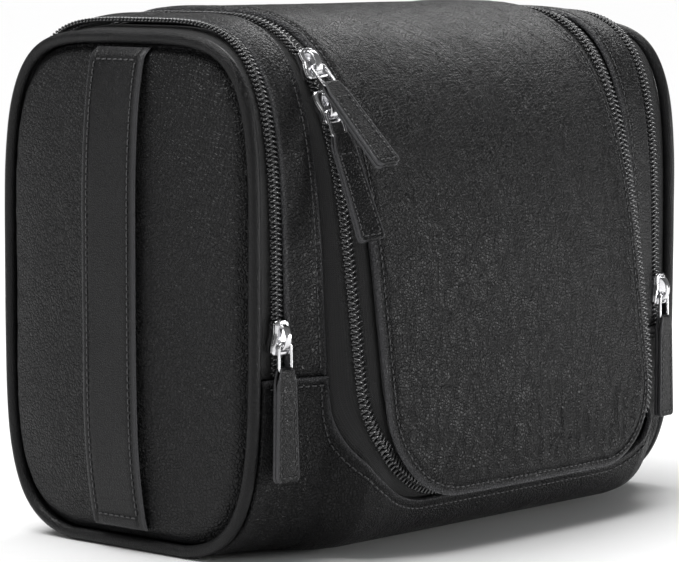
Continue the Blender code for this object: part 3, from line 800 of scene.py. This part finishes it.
def side_zip(side, word):
    """The zip over an end: tape and teeth on the bag, and the same on the side that folds down."""
    for half, body, away in (("outer", f"{word}_flap", side), ("inner", "bag", -side)):
        far = 0.1127 if half == "outer" else 0.0985
        reach = abs(far - SIDE_ZIP_X)
        lines = []
        for share in (0.03, 0.35, 0.45, 0.7, 1.0):
            x = side * SIDE_ZIP_X + away * reach * share
            lines.append((*upright_line(x), TAPE_TOP))
        tape = f"{word}_side_zip_tape_{half}"
        ribbon(f"{tape}_woven", lines, body, "zip_tape", TAPE_CLOTH, tape)
        line = upright_line(side * SIDE_ZIP_X)
        place, sideways, forward, out = frames_along(*line, SIDE_TOOTH_PITCH, COIL_MARGIN)
        if sideways[0][0] * away < 0:
            sideways = -sideways
        shift = 0.25 if half == "outer" else -0.25
        place = place + forward * SIDE_TOOTH_PITCH * shift
        frames = (place, sideways, forward, out)
        teeth = stamp(f"{word}_side_zip_teeth_{half}", tooth_shape(0.0028, -0.0006), frames, COIL_NYLON)
        settle(teeth, body, "zip_coil", f"{word}_side_zip_coil_{half}")


def strip(side, word):
    """The leather between the two zips: long edges folded under, with stitches beside the main zip."""
    width = STRIP_OUTER_X - STRIP_INNER_X
    columns = side * (STRIP_INNER_X + spaced(width, 8))
    places, outs, passed, left = form_grid(columns, ("front", SEAM - 0.003), ("back", SEAM - 0.003), 190)
    across = np.abs(places[..., 0])
    sides = np.minimum(across - STRIP_INNER_X, STRIP_OUTER_X - across)
    bulge = 0.0006 * np.clip(1 - ((across - (STRIP_INNER_X + STRIP_OUTER_X) / 2) / (width / 2)) ** 2, 0, 1)
    tucked = 0.0022 * np.exp(-(np.minimum(passed, left) / 0.0045) ** 4)
    lift = bulge - groove(across - STRIP_INNER_X - STITCH_INSET) - tucked
    lift = lift + 0.00025 * wavy(places, (45, 40, 40), 17.0 * side)
    obj = panel(f"{word}_strip", (places, outs), sides, lift, LEATHER, PANEL_LEATHER)
    settle(obj, "bag", "leather", f"{word}_zip_strip")
    x = side * (STRIP_INNER_X + STITCH_INSET)
    stitches(f"{word}_strip_stitching", upright_line(x), "bag", sink=0.0)


WRAP_HALF_WIDTH = MAIN_ZIP_X + 0.0070
WRAP_LOW = 0.0187
WRAP_TURN = 0.037


def lower_wrap():
    """The leather under the bag and up to the seam all round it, cut out round the main zip."""
    def front_edge(x):
        if abs(x) >= WRAP_HALF_WIDTH:
            return ("front", SEAM)
        return ("front", rounded_low_edge(x, WRAP_HALF_WIDTH, WRAP_LOW, WRAP_TURN))

    outer_columns = WRAP_HALF_WIDTH + spaced(GUSSET_X - WRAP_HALF_WIDTH, 14)
    inner_steps = spaced(2 * WRAP_HALF_WIDTH - 0.0002, 150)
    inner_columns = inner_steps - (WRAP_HALF_WIDTH - 0.0001)
    columns = np.concatenate([-outer_columns[::-1], inner_columns, outer_columns])
    places, outs, passed, left = form_grid(columns, ("back", SEAM), front_edge, 120)
    x, z = places[..., 0], places[..., 2]
    at_front = places[..., 1] < 0
    from_cut = np.where(at_front, -inside_u(x, z, WRAP_HALF_WIDTH, WRAP_LOW, WRAP_TURN), 1.0)
    from_cut = np.where(at_front & (z > WRAP_LOW + WRAP_TURN), np.abs(x) - WRAP_HALF_WIDTH, from_cut)
    from_seam = np.where(np.abs(x) >= WRAP_HALF_WIDTH, left, 1.0)
    edge = np.minimum(np.minimum(np.abs(from_cut), from_seam), passed)
    beside_cut = np.abs(x) > WRAP_HALF_WIDTH
    sunk = groove(from_cut - STITCH_INSET) + groove(left - STITCH_INSET) * beside_cut
    sunk = sunk + groove(passed - STITCH_INSET)
    beside_piping = np.exp(-((GUSSET_X - np.abs(x)) / 0.010) ** 2)
    stretch = wavy(places, (260, 90, 55), 21.0) * 0.00045 * beside_piping
    at_divider = np.exp(-((np.abs(x) - DIVIDER_X - 0.0006) / 0.0022) ** 2)
    crease = -0.0011 * at_divider * np.clip((SEAM - 0.010 - z) / 0.02, 0, 1)
    broad = 0.0005 * wavy(places, (24, 30, 38), 2.5)
    resting = np.clip((z - 0.002) / 0.006, 0, 1)
    rise = 0.0004 * np.exp(-(np.minimum(left, passed) / 0.006) ** 2)
    lift = rise - sunk + (stretch + crease + broad) * resting
    obj = panel("lower_wrap", (places, outs), edge, lift, LEATHER, WRAP_LEATHER)
    settle(obj, "bag", "leather", "bottom_panel", "left_lower_gusset", "right_lower_gusset")
    sewn = (WRAP_HALF_WIDTH + STITCH_INSET, WRAP_LOW - STITCH_INSET, WRAP_TURN + STITCH_INSET)
    cut = u_line(*sewn, ("front", SEAM - 0.001), uprights=20)
    stitches("wrap_stitching_zip", cut, "bag", sink=0.0)
    for side, word in ((-1, "left"), (1, "right")):
        for face in ("front", "back"):
            line = seam_line(side, face)
            stitches(f"wrap_stitching_{word}_{face}", line, "bag", sink=-0.0003, margin=0.0008)
    stitches("wrap_stitching_back", seam_line(0, "back"), "bag", sink=-0.0003)


def seam_line(side, face):
    """A line just below the seam that runs round the bag."""
    ends = (WRAP_HALF_WIDTH + 0.001, GUSSET_X - 0.002) if side else (-WRAP_HALF_WIDTH, WRAP_HALF_WIDTH)
    columns = (side or 1) * np.linspace(*ends, 40)
    return chained([on_form(x, length_at(x, (face, SEAM - STITCH_INSET))) for x in columns])


def back_panel():
    """The back, which goes up behind the lid's edge to the lid's hinge."""
    columns = -STRIP_INNER_X + 0.0003 + spaced(2 * STRIP_INNER_X - 0.0006, 80)
    top, foot = ("back", HINGE_HEIGHT + 0.009), ("back", SEAM - 0.003)
    places, outs, _, left = form_grid(columns, top, foot, 70)
    z = places[..., 2]
    under_lid = 0.0034 * np.clip((z - HINGE_HEIGHT + 0.0035) / 0.003, 0, 1)
    under_wrap = 0.0022 * np.exp(-(left / 0.0045) ** 4)
    sides = STRIP_INNER_X - np.abs(places[..., 0])
    broad = 0.0006 * wavy(places, (26, 30, 30), 31.0)
    lift = broad - under_lid - under_wrap - groove(sides - STITCH_INSET)
    obj = panel("back_panel_leather", (places, outs), sides, lift, LEATHER, PANEL_LEATHER)
    settle(obj, "hinge", "leather", "back_panel")


# ---- the lid ----
LID_END = ("back", HINGE_HEIGHT + 0.0003)


def lid():
    """One piece of leather from the lower front edge over the top to the hinge, with a turned edge."""
    columns = -LID_X + spaced(2 * LID_X, 185)
    low_edge = low_mark(LID_X, LID_LOW, LID_TURN)
    places, outs, _, left = form_grid(columns, low_edge, LID_END, 210, lid=True)
    x, z = places[..., 0], places[..., 2]
    at_front = places[..., 1] < 0
    edge = np.where(at_front, inside_u(x, z, LID_X, LID_LOW, LID_TURN), LID_X - np.abs(x))
    edge = np.clip(np.minimum(edge, left), 0, None)
    above_edge = np.where(at_front, z - LID_LOW, 1.0)
    ruffled = np.exp(-((above_edge - 0.012) / 0.016) ** 2) * np.clip((edge - 0.0035) / 0.003, 0, 1)
    slanted = places.copy()
    slanted[..., 0] = x - 0.22 * z
    wide_ruffles = 0.00055 * wavy(slanted, (300, 60, 70), 9.0)
    fine_ruffles = 0.00026 * wavy(slanted, (520, 90, 190), 19.0)
    ruffle = (wide_ruffles + fine_ruffles) * ruffled
    over_top = np.exp(-((z - 0.176) / 0.016) ** 2) * (places[..., 1] < 0.01)
    slanted[..., 0] = x + 0.9 * places[..., 1]
    creases = 0.00024 * wavy(slanted, (300, 70, 90), 4.0) * over_top
    broad = 0.0006 * wavy(places, (16, 22, 19), 13.0) * np.clip(edge / 0.02, 0, 1)
    lift = ruffle + creases + broad - groove(edge - STITCH_INSET, 0.0005, 0.0008)
    lift = lift + 0.0003 * np.exp(-((edge - 0.0055) / 0.0018) ** 2)
    obj = panel("lid_leather_panel", (places, outs), edge, lift, LID_THICK, LID_LEATHER)
    settle(obj, "lid", "leather", "lid_front_panel", "lid_top_panel")
    inset = (LID_X - STITCH_INSET, LID_LOW + STITCH_INSET, LID_TURN - STITCH_INSET)
    line = u_line(*inset, ("back", HINGE_HEIGHT + 0.003), lid=True)
    stitches("lid_stitching", line, "lid", sink=0.0003)


def lid_lining():
    half_width = LID_X - 0.005
    low_edge = low_mark(half_width, LID_LOW + 0.014, LID_TURN - 0.005)
    columns = -half_width + spaced(2 * half_width, 60)
    places, outs = form_grid(columns, low_edge, LID_END, 110, lid=True)[:2]
    depth = LID_THICK + 0.0005
    slack = 0.0002 * (1 + wavy(places, (40, 40, 40), 41.0))
    outer = places - outs * (depth + slack)[..., None]
    inner = outer - outs * LINING_THICK
    cloth = slab("lid_lining", outer, inner, LINING_CLOTH)
    settle(cloth, "lid", "lining", "lid_front_lining", "lid_top_lining")


# ---- the main zip ----
def main_zip_line(out):
    return u_line(MAIN_ZIP_X + out, MAIN_ZIP_LOW - out, MAIN_ZIP_TURN + out, LID_END)


def tape_depth(out):
    """The tape dips where it goes under the leather."""
    return TAPE_TOP + 0.0004 * min(max((abs(out) - 0.0058) / 0.001, 0.0), 1.0)


def main_zip():
    """The zip round the lid: a tape and a row of teeth on the bag, and the same on the lid."""
    middle = main_zip_line(0.0)
    for body, away, far, sections in (("bag", 1, 0.0100, ("bag",)),
                                      ("lid", -1, 0.0092, ("lid_front", "lid_left", "lid_right"))):
        tapes, coils = ([f"main_zip_{kind}_{word}" for word in sections] for kind in ("tape", "coil"))
        lines = [(*main_zip_line(away * reach), tape_depth(reach)) for reach in (*TAPE_STEPS, far)]
        ribbon(f"main_zip_{body}_tape", lines, body, "zip_tape", TAPE_CLOTH, *tapes)
        place, sideways, forward, out = frames_along(*middle, MAIN_TOOTH_PITCH, COIL_MARGIN)
        if sideways[0][0] * away > 0:
            sideways = -sideways
        place = place + forward * MAIN_TOOTH_PITCH * 0.25 * away - out * MAIN_COIL_SINK
        shape = tooth_shape(0.0031, -0.0008)
        teeth = stamp(f"main_zip_{body}_teeth", shape, (place, sideways, forward, out), COIL_NYLON)
        settle(teeth, body, "zip_coil", *coils)


def lid_facing():
    """Lining cloth that joins the lid's zip tape to the inside of the lid's leather."""
    inset = 0.0098
    tape_points, tape_outs = main_zip_line(-0.0090)
    lid_edge = (MAIN_ZIP_X - inset, MAIN_ZIP_LOW + inset, MAIN_ZIP_TURN - inset)
    lid_points, lid_outs = u_line(*lid_edge, LID_END, lid=True)
    tape_edge = tape_points - tape_outs * (tape_depth(0.0090) - 0.0002)
    leather_edge = lid_points - lid_outs * (LID_THICK + 0.0001)
    shares = np.linspace(0, 1, 6)[None, :, None]
    outer = tape_edge[:, None] * (1 - shares) + leather_edge[:, None] * shares
    inner = outer + tape_inward(outer) * LINING_THICK
    settle(slab("lid_facing", outer, inner, LINING_CLOTH), "lid", "lining")


def tape_inward(points):
    """Directions across the lid towards the middle, for a facing's thickness."""
    flat = points * np.array([1.0, 0.0, 1.0]) - np.array([0.0, 0.0, MID])
    return -flat / np.linalg.norm(flat, axis=-1, keepdims=True)


# ---- inside ----
def lining_panels():
    half_width = DIVIDER_X - 0.002
    columns = -half_width + spaced(2 * half_width, 70)
    top, foot = ("back", HINGE_HEIGHT - 0.004), ("front", 0.0115)
    places, outs = form_grid(columns, top, foot, 110)[:2]
    slack = 0.0003 * (1 + wavy(places, (35, 35, 35), 51.0))
    outer = places - outs * (LINING_TOP + slack)[..., None]
    inner = outer - outs * LINING_THICK
    settle(slab("main_lining_cloth", outer, inner, LINING_CLOTH), "bag", "lining", "main_lining")
    for side, word in ((-1, "left"), (1, "right")):
        x = side * DIVIDER_X
        first, last = length_at(x, ("front", 0.001)), length_at(x, ("back", 0.001))
        place, out = on_form(x, np.linspace(first, last, 160))
        rim = place - out * 0.0048
        centre = np.array([x, 0.0, MID])
        steps = np.linspace(0.03, 1, 24)
        outer = centre + (rim - centre)[None] * steps[:, None, None]
        outer[..., 0] += 0.0006 * wavy(outer, (40, 25, 25), 61.0 * side) * (1 - steps[:, None])
        inner = outer + np.array([side * 0.0012, 0, 0])
        cloth = slab(f"{word}_divider_cloth", outer, inner, LINING_CLOTH, wrap=True)
        settle(cloth, "bag", "lining", f"{word}_divider")


# ---- sliders, links, pulls ----
def zip_frame(x, height, flip=False):
    """A frame on a zip: X across it, Y along it and up, Z straight out of it."""
    def point(at_x, shift=0.0):
        return on_form(at_x, length_at(at_x, ("front", height)) + shift)[0][0]

    along = point(x, 0.002) - point(x, -0.002)
    across = point(x + 0.003) - point(x - 0.003)
    up = Vector(along).normalized()
    out = Vector(across).cross(up).normalized()
    side = up.cross(out)
    if flip:
        side, up = -side, -up
    return frame_at(side, up, out, point(x))


def loft(levels):
    """A closed shape through matching outlines, capped at both ends."""
    count = len(levels[0])
    faces = [tuple(f) for f in grid_faces(len(levels), count, wrap=True)]
    faces.append(tuple(reversed(range(count))))
    faces.append(tuple((len(levels) - 1) * count + i for i in range(count)))
    return np.concatenate(levels), faces


def slider_half_width(y):
    """Half the slider's width, narrow where the zip is closed and wide at its shoulders."""
    along = (-SLIDER_HALF, -0.0048, -0.0022, 0.0012, SLIDER_HALF)
    return np.interp(y, along, (0.0041, 0.0045, 0.0044, 0.0033, 0.0031))


def slider_outline(inset, z):
    half = SLIDER_HALF - inset
    y = half * np.sin(np.linspace(math.pi / 2, -math.pi / 2, 26))
    corner = 0.0011
    past = np.maximum(np.abs(y) - (half - corner), 0)
    x = slider_half_width(y) - inset - (corner - np.sqrt(np.maximum(corner ** 2 - past ** 2, 0)))
    right = np.stack([x, y, np.full(len(y), z)], axis=1)
    return np.concatenate([right, right[::-1] * np.array([-1, 1, 1])])


def slider(word, place):
    """A slider's domed outer plate with its side rails, and the crown that holds the link."""
    levels = [(0.0005, 0.0014), (0.0001, 0.0015), (0.0, 0.0019),
              (0.0002, 0.0024), (0.0006, 0.00265), (0.0014, 0.00275)]
    plate = loft([slider_outline(inset, z) for inset, z in levels])
    rails = []
    for side in (-1, 1):
        y = np.linspace(-0.0049, 0.0049, 14)
        path = np.stack([side * (slider_half_width(y) - 0.00025), y, np.full(len(y), 0.0004)], axis=1)
        rails.append(tube(path, box_ring(0.00035, 0.0014, 0.0002)))
    turned = np.linspace(-0.12, math.pi + 0.12, 19)
    arch = np.stack([np.zeros(19), 0.0043 * np.cos(turned), 0.0021 + 0.0033 * np.sin(turned)], axis=1)
    thinned = 1.15 - 0.30 * np.sin(np.clip(turned, 0, math.pi))
    crown = tube(arch, box_ring(0.00145, 0.0005, 0.0003), sizes=thinned)
    post = tube([(0, 0.0046, 0.0022), (0, 0.0058, 0.0022)], box_ring(0.0016, 0.0005, 0.0003))
    verts, faces = moved(joined([plate, *rails, crown, post]), place)
    obj = make_object(f"{word}_slider_plated", verts, faces, NICKEL, smooth=False)
    bevel_and_smooth(obj, 0.00012)
    settle(obj, f"{word}_slider", "metal", f"{word}_slider")


def bevel_and_smooth(obj, width):
    bevel = obj.modifiers.new("soft_edges", "BEVEL")
    bevel.width = width
    bevel.segments = 2
    bevel.limit_method = "ANGLE"
    bevel.angle_limit = math.radians(38)
    obj.data.shade_smooth()
    obj.data.set_sharp_from_angle(angle=math.radians(50))


def link_path(length, half_width, corner):
    path = []
    for cx, cy, start in ((1, 0, 0), (-1, 0, 90), (-1, -1, 180), (1, -1, 270)):
        x = cx * (half_width - corner)
        y = -corner if cy == 0 else -length + corner
        for turned in np.radians(np.linspace(start, start + 90, 7)):
            path.append((x + corner * math.cos(turned), y + corner * math.sin(turned), 0.0))
    return path


def link(word, place):
    path = link_path(LINK_LENGTH, LINK_HALF_WIDTH, 0.0016)
    verts, faces = moved(tube(path, ring(WIRE, WIRE, 12), closed=True, side=(0, 0, 1)), place)
    obj = make_object(f"{word}_link_wire", verts, faces, NICKEL)
    settle(obj, f"{word}_link", "metal", f"{word}_link")


def pull_half_width(y):
    """Half the pull's width: round shoulders at the fold, then wider towards its lower end."""
    widths = (PULL_WIDE, PULL_NARROW + 0.0001, PULL_NARROW - 0.0006, PULL_NARROW - 0.0014)
    width = np.interp(y, (-PULL_LENGTH, -0.004, -0.001, 0.0015), widths)
    corner = 0.0018
    past = np.clip(-PULL_LENGTH + corner - y, 0, corner)
    return width - (corner - np.sqrt(np.maximum(corner ** 2 - past ** 2, 0)))


def pull(word, place):
    """Leather folded over the link's lower bar and sewn to itself: two layers, their edges lighter with a
    painted highlight and wear.
    """
    half = PULL_THICK / 2
    straight = -PULL_LENGTH + spaced(PULL_LENGTH, 24)[:-1]
    fold = np.linspace(math.pi / 2, -math.pi / 2, 15)
    middle_y = np.concatenate([straight, half * np.cos(fold), straight[::-1]])
    zeros, ones = np.zeros(len(straight)), np.ones(len(straight))
    outer_z = np.concatenate([half * ones, half * np.sin(fold), -half * ones])
    normal_y = np.concatenate([zeros, np.cos(fold), zeros])
    normal_z = np.concatenate([ones, np.sin(fold), -ones])
    thick = np.interp(middle_y, (-0.007, -0.002), (half - 0.00008, 0.00080))
    shares = -np.cos(np.linspace(0, math.pi, 25))
    rows = []
    for y, z, ny, nz, t in zip(middle_y, outer_z, normal_y, normal_z, thick):
        width = float(pull_half_width(y))
        x = shares * width
        from_side = width - np.abs(x)
        from_end = y + PULL_LENGTH
        down = roll(from_side, 0.0005) + roll(np.full(len(x), from_end), 0.0005)
        sunk = groove(from_side - PULL_STITCH_INSET, 0.00018, 0.0005) * (y < -0.0055)
        sunk = sunk + groove(from_end - PULL_END_STITCH, 0.00018, 0.0005) * (from_side > 0.0014)
        rise = -down - sunk
        outer = np.stack([x, y + ny * rise, z + nz * rise], axis=1)
        under = t - 0.8 * down
        inner = np.stack([x, y - ny * under, z - nz * under], axis=1)
        # Lighter along the sides: painted highlight and wear on the pull's edges
        rows.append((outer, inner, highlight_and_wear_falloff(from_side, 0.0006)))
    outer, inner, edge = (np.stack(part) for part in zip(*rows))
    obj = slab(f"{word}_pull_leather", outer, inner, PULL_LEATHER, edge)
    obj.data.transform(place)
    settle(obj, f"{word}_pull", "leather", f"{word}_pull")
    border = []
    for y in np.linspace(-0.0065, -PULL_LENGTH + PULL_END_STITCH, 30):
        width = float(pull_half_width(max(y, -PULL_LENGTH + 0.003)))
        border.append((-(width - PULL_STITCH_INSET), y))
    border += [(-x, y) for x, y in reversed(border)]
    border.append(border[0])
    flat = np.array([(x, y, half - 0.0002) for x, y in border])
    shapes = []
    short = stitch_shape()[0] * np.array([0.85, 0.9, 0.9]), stitch_shape()[1]
    for face in (1, -1):
        points = flat * np.array([1, 1, face])
        outs = np.tile((0.0, 0.0, float(face)), (len(points), 1))
        place_on, sideways, forward, out = frames_along(points, outs, 0.0024)
        for p, s, f, o in zip(place_on, sideways, forward, out):
            shapes.append((p + short[0] @ np.array([s, f, o]), short[1]))
    verts, faces = moved(joined(shapes), place)
    settle(make_object(f"{word}_pull_stitching", verts, faces, THREAD), f"{word}_pull", "leather")


def hanging_frame(word, joint):
    """A frame on a link's or pull's pivot, with X along the pivot and -Y down the hanging piece."""
    top = Vector(joints[f"{word}_link_swing"]["pos_m"])
    low = Vector(joints[f"{word}_pull_swing"]["pos_m"])
    side = -Vector(joints[joint]["axis"]).normalized()
    up = (top - low).normalized()
    return frame_at(side, up, side.cross(up), joints[joint]["pos_m"])


def sliders():
    for word, height in SLIDER_HEIGHTS.items():
        x = {"left_side": -SIDE_ZIP_X, "right_side": SIDE_ZIP_X}.get(word, -MAIN_ZIP_X)
        slider(word, zip_frame(x, height, flip=word == "lower_main"))
        link(word, hanging_frame(word, f"{word}_link_swing"))
        pull(word, hanging_frame(word, f"{word}_pull_swing"))


# ---- hook ----
def hook():
    """The hook that hangs the open bag, stowed flat behind the lid, and the bail it turns with."""
    joint = joints["hook_flip"]
    side = Vector(joint["axis"]).normalized()
    hook_low, hook_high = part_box("hook")
    top_of_bail = Vector((0, (hook_low.y + hook_high.y) / 2, (hook_low.z + hook_high.z) / 2))
    pivot = Vector(joint["pos_m"])
    up = top_of_bail - pivot
    up = (up - side * up.dot(side)).normalized()
    place = frame_at(side, up, side.cross(up), pivot)
    bail_wire, half, length, shoulder = 0.0011, 0.0070, 0.0125, 0.0100
    corners = [(-half, 0), (half, 0), (half, shoulder), (0, length), (-half, shoulder)]
    path = []
    for i, corner in enumerate(corners):
        before, after = np.array(corners[i - 1]), np.array(corners[(i + 1) % len(corners)])
        corner = np.array(corner)
        reach = 0.0016
        start = corner + (before - corner) / np.linalg.norm(before - corner) * reach
        end = corner + (after - corner) / np.linalg.norm(after - corner) * reach
        for t in np.linspace(0, 1, 6):
            x, y = (1 - t) ** 2 * start + 2 * t * (1 - t) * corner + t ** 2 * end
            path.append((x, y, 0.0))
    verts, faces = moved(tube(path, ring(bail_wire, bail_wire, 12), closed=True, side=(0, 0, 1)), place)
    settle(make_object("hook_bail_wire", verts, faces, NICKEL), "hook", "metal", "hook_bail")
    wire, stem, bend = 0.0016, 0.008, 0.0105
    low_end = length + bail_wire + wire
    points = [(0, low_end + t, 0) for t in np.linspace(0, stem, 5)]
    for turned in np.radians(np.linspace(-90, 120, 40)[1:]):
        points.append((bend * math.cos(turned), low_end + stem + bend * (1 + math.sin(turned)), 0))
    sizes = np.ones(len(points))
    sizes[0], sizes[-1], sizes[-2] = 0.8, 0.55, 0.9
    collar = tube([(0, low_end + 0.0005, 0), (0, low_end + 0.0042, 0)], ring(0.0026, 0.0026, 16))
    bent = tube(points, ring(wire, wire, 14), side=(0, 0, 1), sizes=sizes)
    verts, faces = moved(joined([bent, collar]), place)
    settle(make_object("hook_wire", verts, faces, NICKEL), "hook", "metal", "hook")


def hook_tab():
    """The leather tab that holds the hook's bail, sewn to the inside of the lid."""
    cad = frame["nodes"]["hook_tab"]
    points = np.array([cad.matrix_world @ v.co for v in cad.data.vertices])
    middle = points.mean(axis=0)
    turned = np.linalg.eigh(np.cov((points - middle).T))[1]
    into, long_way, across = (turned[:, i] for i in range(3))
    if into[1] < 0:
        into = -into
    thick, length, width = (np.ptp((points - middle) @ d) for d in (into, long_way, across))
    along, beside = spaced(length, 26) - length / 2, spaced(width, 26) - width / 2
    v, u = np.meshgrid(along, beside, indexing="ij")
    places = middle + u[..., None] * across + v[..., None] * long_way + into * thick / 2
    outs = np.broadcast_to(into, places.shape)
    edge = np.minimum(width / 2 - np.abs(u), length / 2 - np.abs(v))
    inset = 0.0024
    obj = panel("hook_tab_leather", (places, outs), edge, -groove(edge - inset), thick, TRIM_LEATHER)
    settle(obj, "lid", "leather", "hook_tab")
    half_u, half_v = width / 2 - inset, length / 2 - inset
    corners = [(-half_u, -half_v), (half_u, -half_v), (half_u, half_v), (-half_u, half_v)]
    for i, (start, end) in enumerate(zip(corners, corners[1:] + corners[:1])):
        steps = np.linspace(0, 1, 12)[:, None]
        spots = np.array(start) * (1 - steps) + np.array(end) * steps
        line = middle + spots[:, :1] * across + spots[:, 1:] * long_way + into * thick / 2
        stitches(f"hook_tab_stitching_{i + 1}", (line, np.tile(into, (12, 1))), "lid", margin=0.0004)


# ---- floor, light, camera ----
def studio():
    floor_material, tree, shader = new_material("pale_floor")
    place = object_place(tree)
    speckle = noise_value(tree, place, 60.0, 3.0)
    paper = mixed(tree, speckle, (0.90, 0.90, 0.90), (0.93, 0.93, 0.93))
    tree.links.new(paper, shader.inputs["Base Color"])
    shader.inputs["Roughness"].default_value = 0.7
    half = 40.0
    corners = [(-half, -half, 0), (half, -half, 0), (half, half, 0), (-half, half, 0)]
    floor = make_object("floor", corners, [(0, 1, 2, 3)], floor_material, smooth=False)
    floor.location.z = cad_bounds[0].z - 0.0002
    world = bpy.data.worlds.new("studio")
    bpy.context.scene.world = world
    world.use_nodes = True
    world.node_tree.nodes["Background"].inputs["Color"].default_value = (1.0, 1.0, 1.0, 1.0)
    world.node_tree.nodes["Background"].inputs["Strength"].default_value = 0.16
    target = Vector((0, 0, 0.09))
    sun_data = bpy.data.lights.new("overhead_sky", "SUN")
    sun_data.energy = 3.3
    sun_data.angle = math.radians(50)
    sun = bpy.data.objects.new("overhead_sky", sun_data)
    sun.rotation_euler = Vector((0.18, -0.22, -1.0)).to_track_quat("-Z", "Y").to_euler()
    bpy.context.scene.collection.objects.link(sun)
    lights = (
        ("back_right_softbox", (0.95, 0.40, 0.92), 0.60, 4.5),
        ("left_softbox", (-1.20, 0.35, 0.45), 0.5, 1.6),
        ("front_softbox", (0.85, -1.05, 0.16), 0.40, 8.0),
    )
    for name, place, size, power in lights:
        data = bpy.data.lights.new(name, "AREA")
        data.shape = "SQUARE"
        data.size = size
        data.energy = power
        lamp = bpy.data.objects.new(name, data)
        lamp.location = place
        lamp.rotation_euler = (target - Vector(place)).to_track_quat("-Z", "Y").to_euler()
        bpy.context.scene.collection.objects.link(lamp)


def camera():
    """The view from the front left, from a little above the bag's middle."""
    data = bpy.data.cameras.new("camera")
    obj = bpy.data.objects.new("camera", data)
    bpy.context.scene.collection.objects.link(obj)
    forward = Vector((0.73933, 0.66646, -0.09603))
    obj.location = (-0.91532, -0.82511, 0.21307)
    obj.rotation_euler = forward.to_track_quat("-Z", "Y").to_euler()
    data.sensor_width = 36.0
    data.lens = 176.8
    data.shift_x = -0.01487
    data.shift_y = -0.03761
    data.clip_start, data.clip_end = 0.05, 200.0
    bpy.context.scene.camera = obj
    bpy.context.scene.view_settings.view_transform = "Standard"


for side_sign, side_name in ((-1, "left"), (1, "right")):
    end_panel(side_sign, side_name)
    piping(side_sign, side_name)
    side_zip(side_sign, side_name)
    strip(side_sign, side_name)
grab_strap()
lower_wrap()
back_panel()
lid()
lid_lining()
main_zip()
lid_facing()
lining_panels()
sliders()
hook()
hook_tab()
studio()
camera()
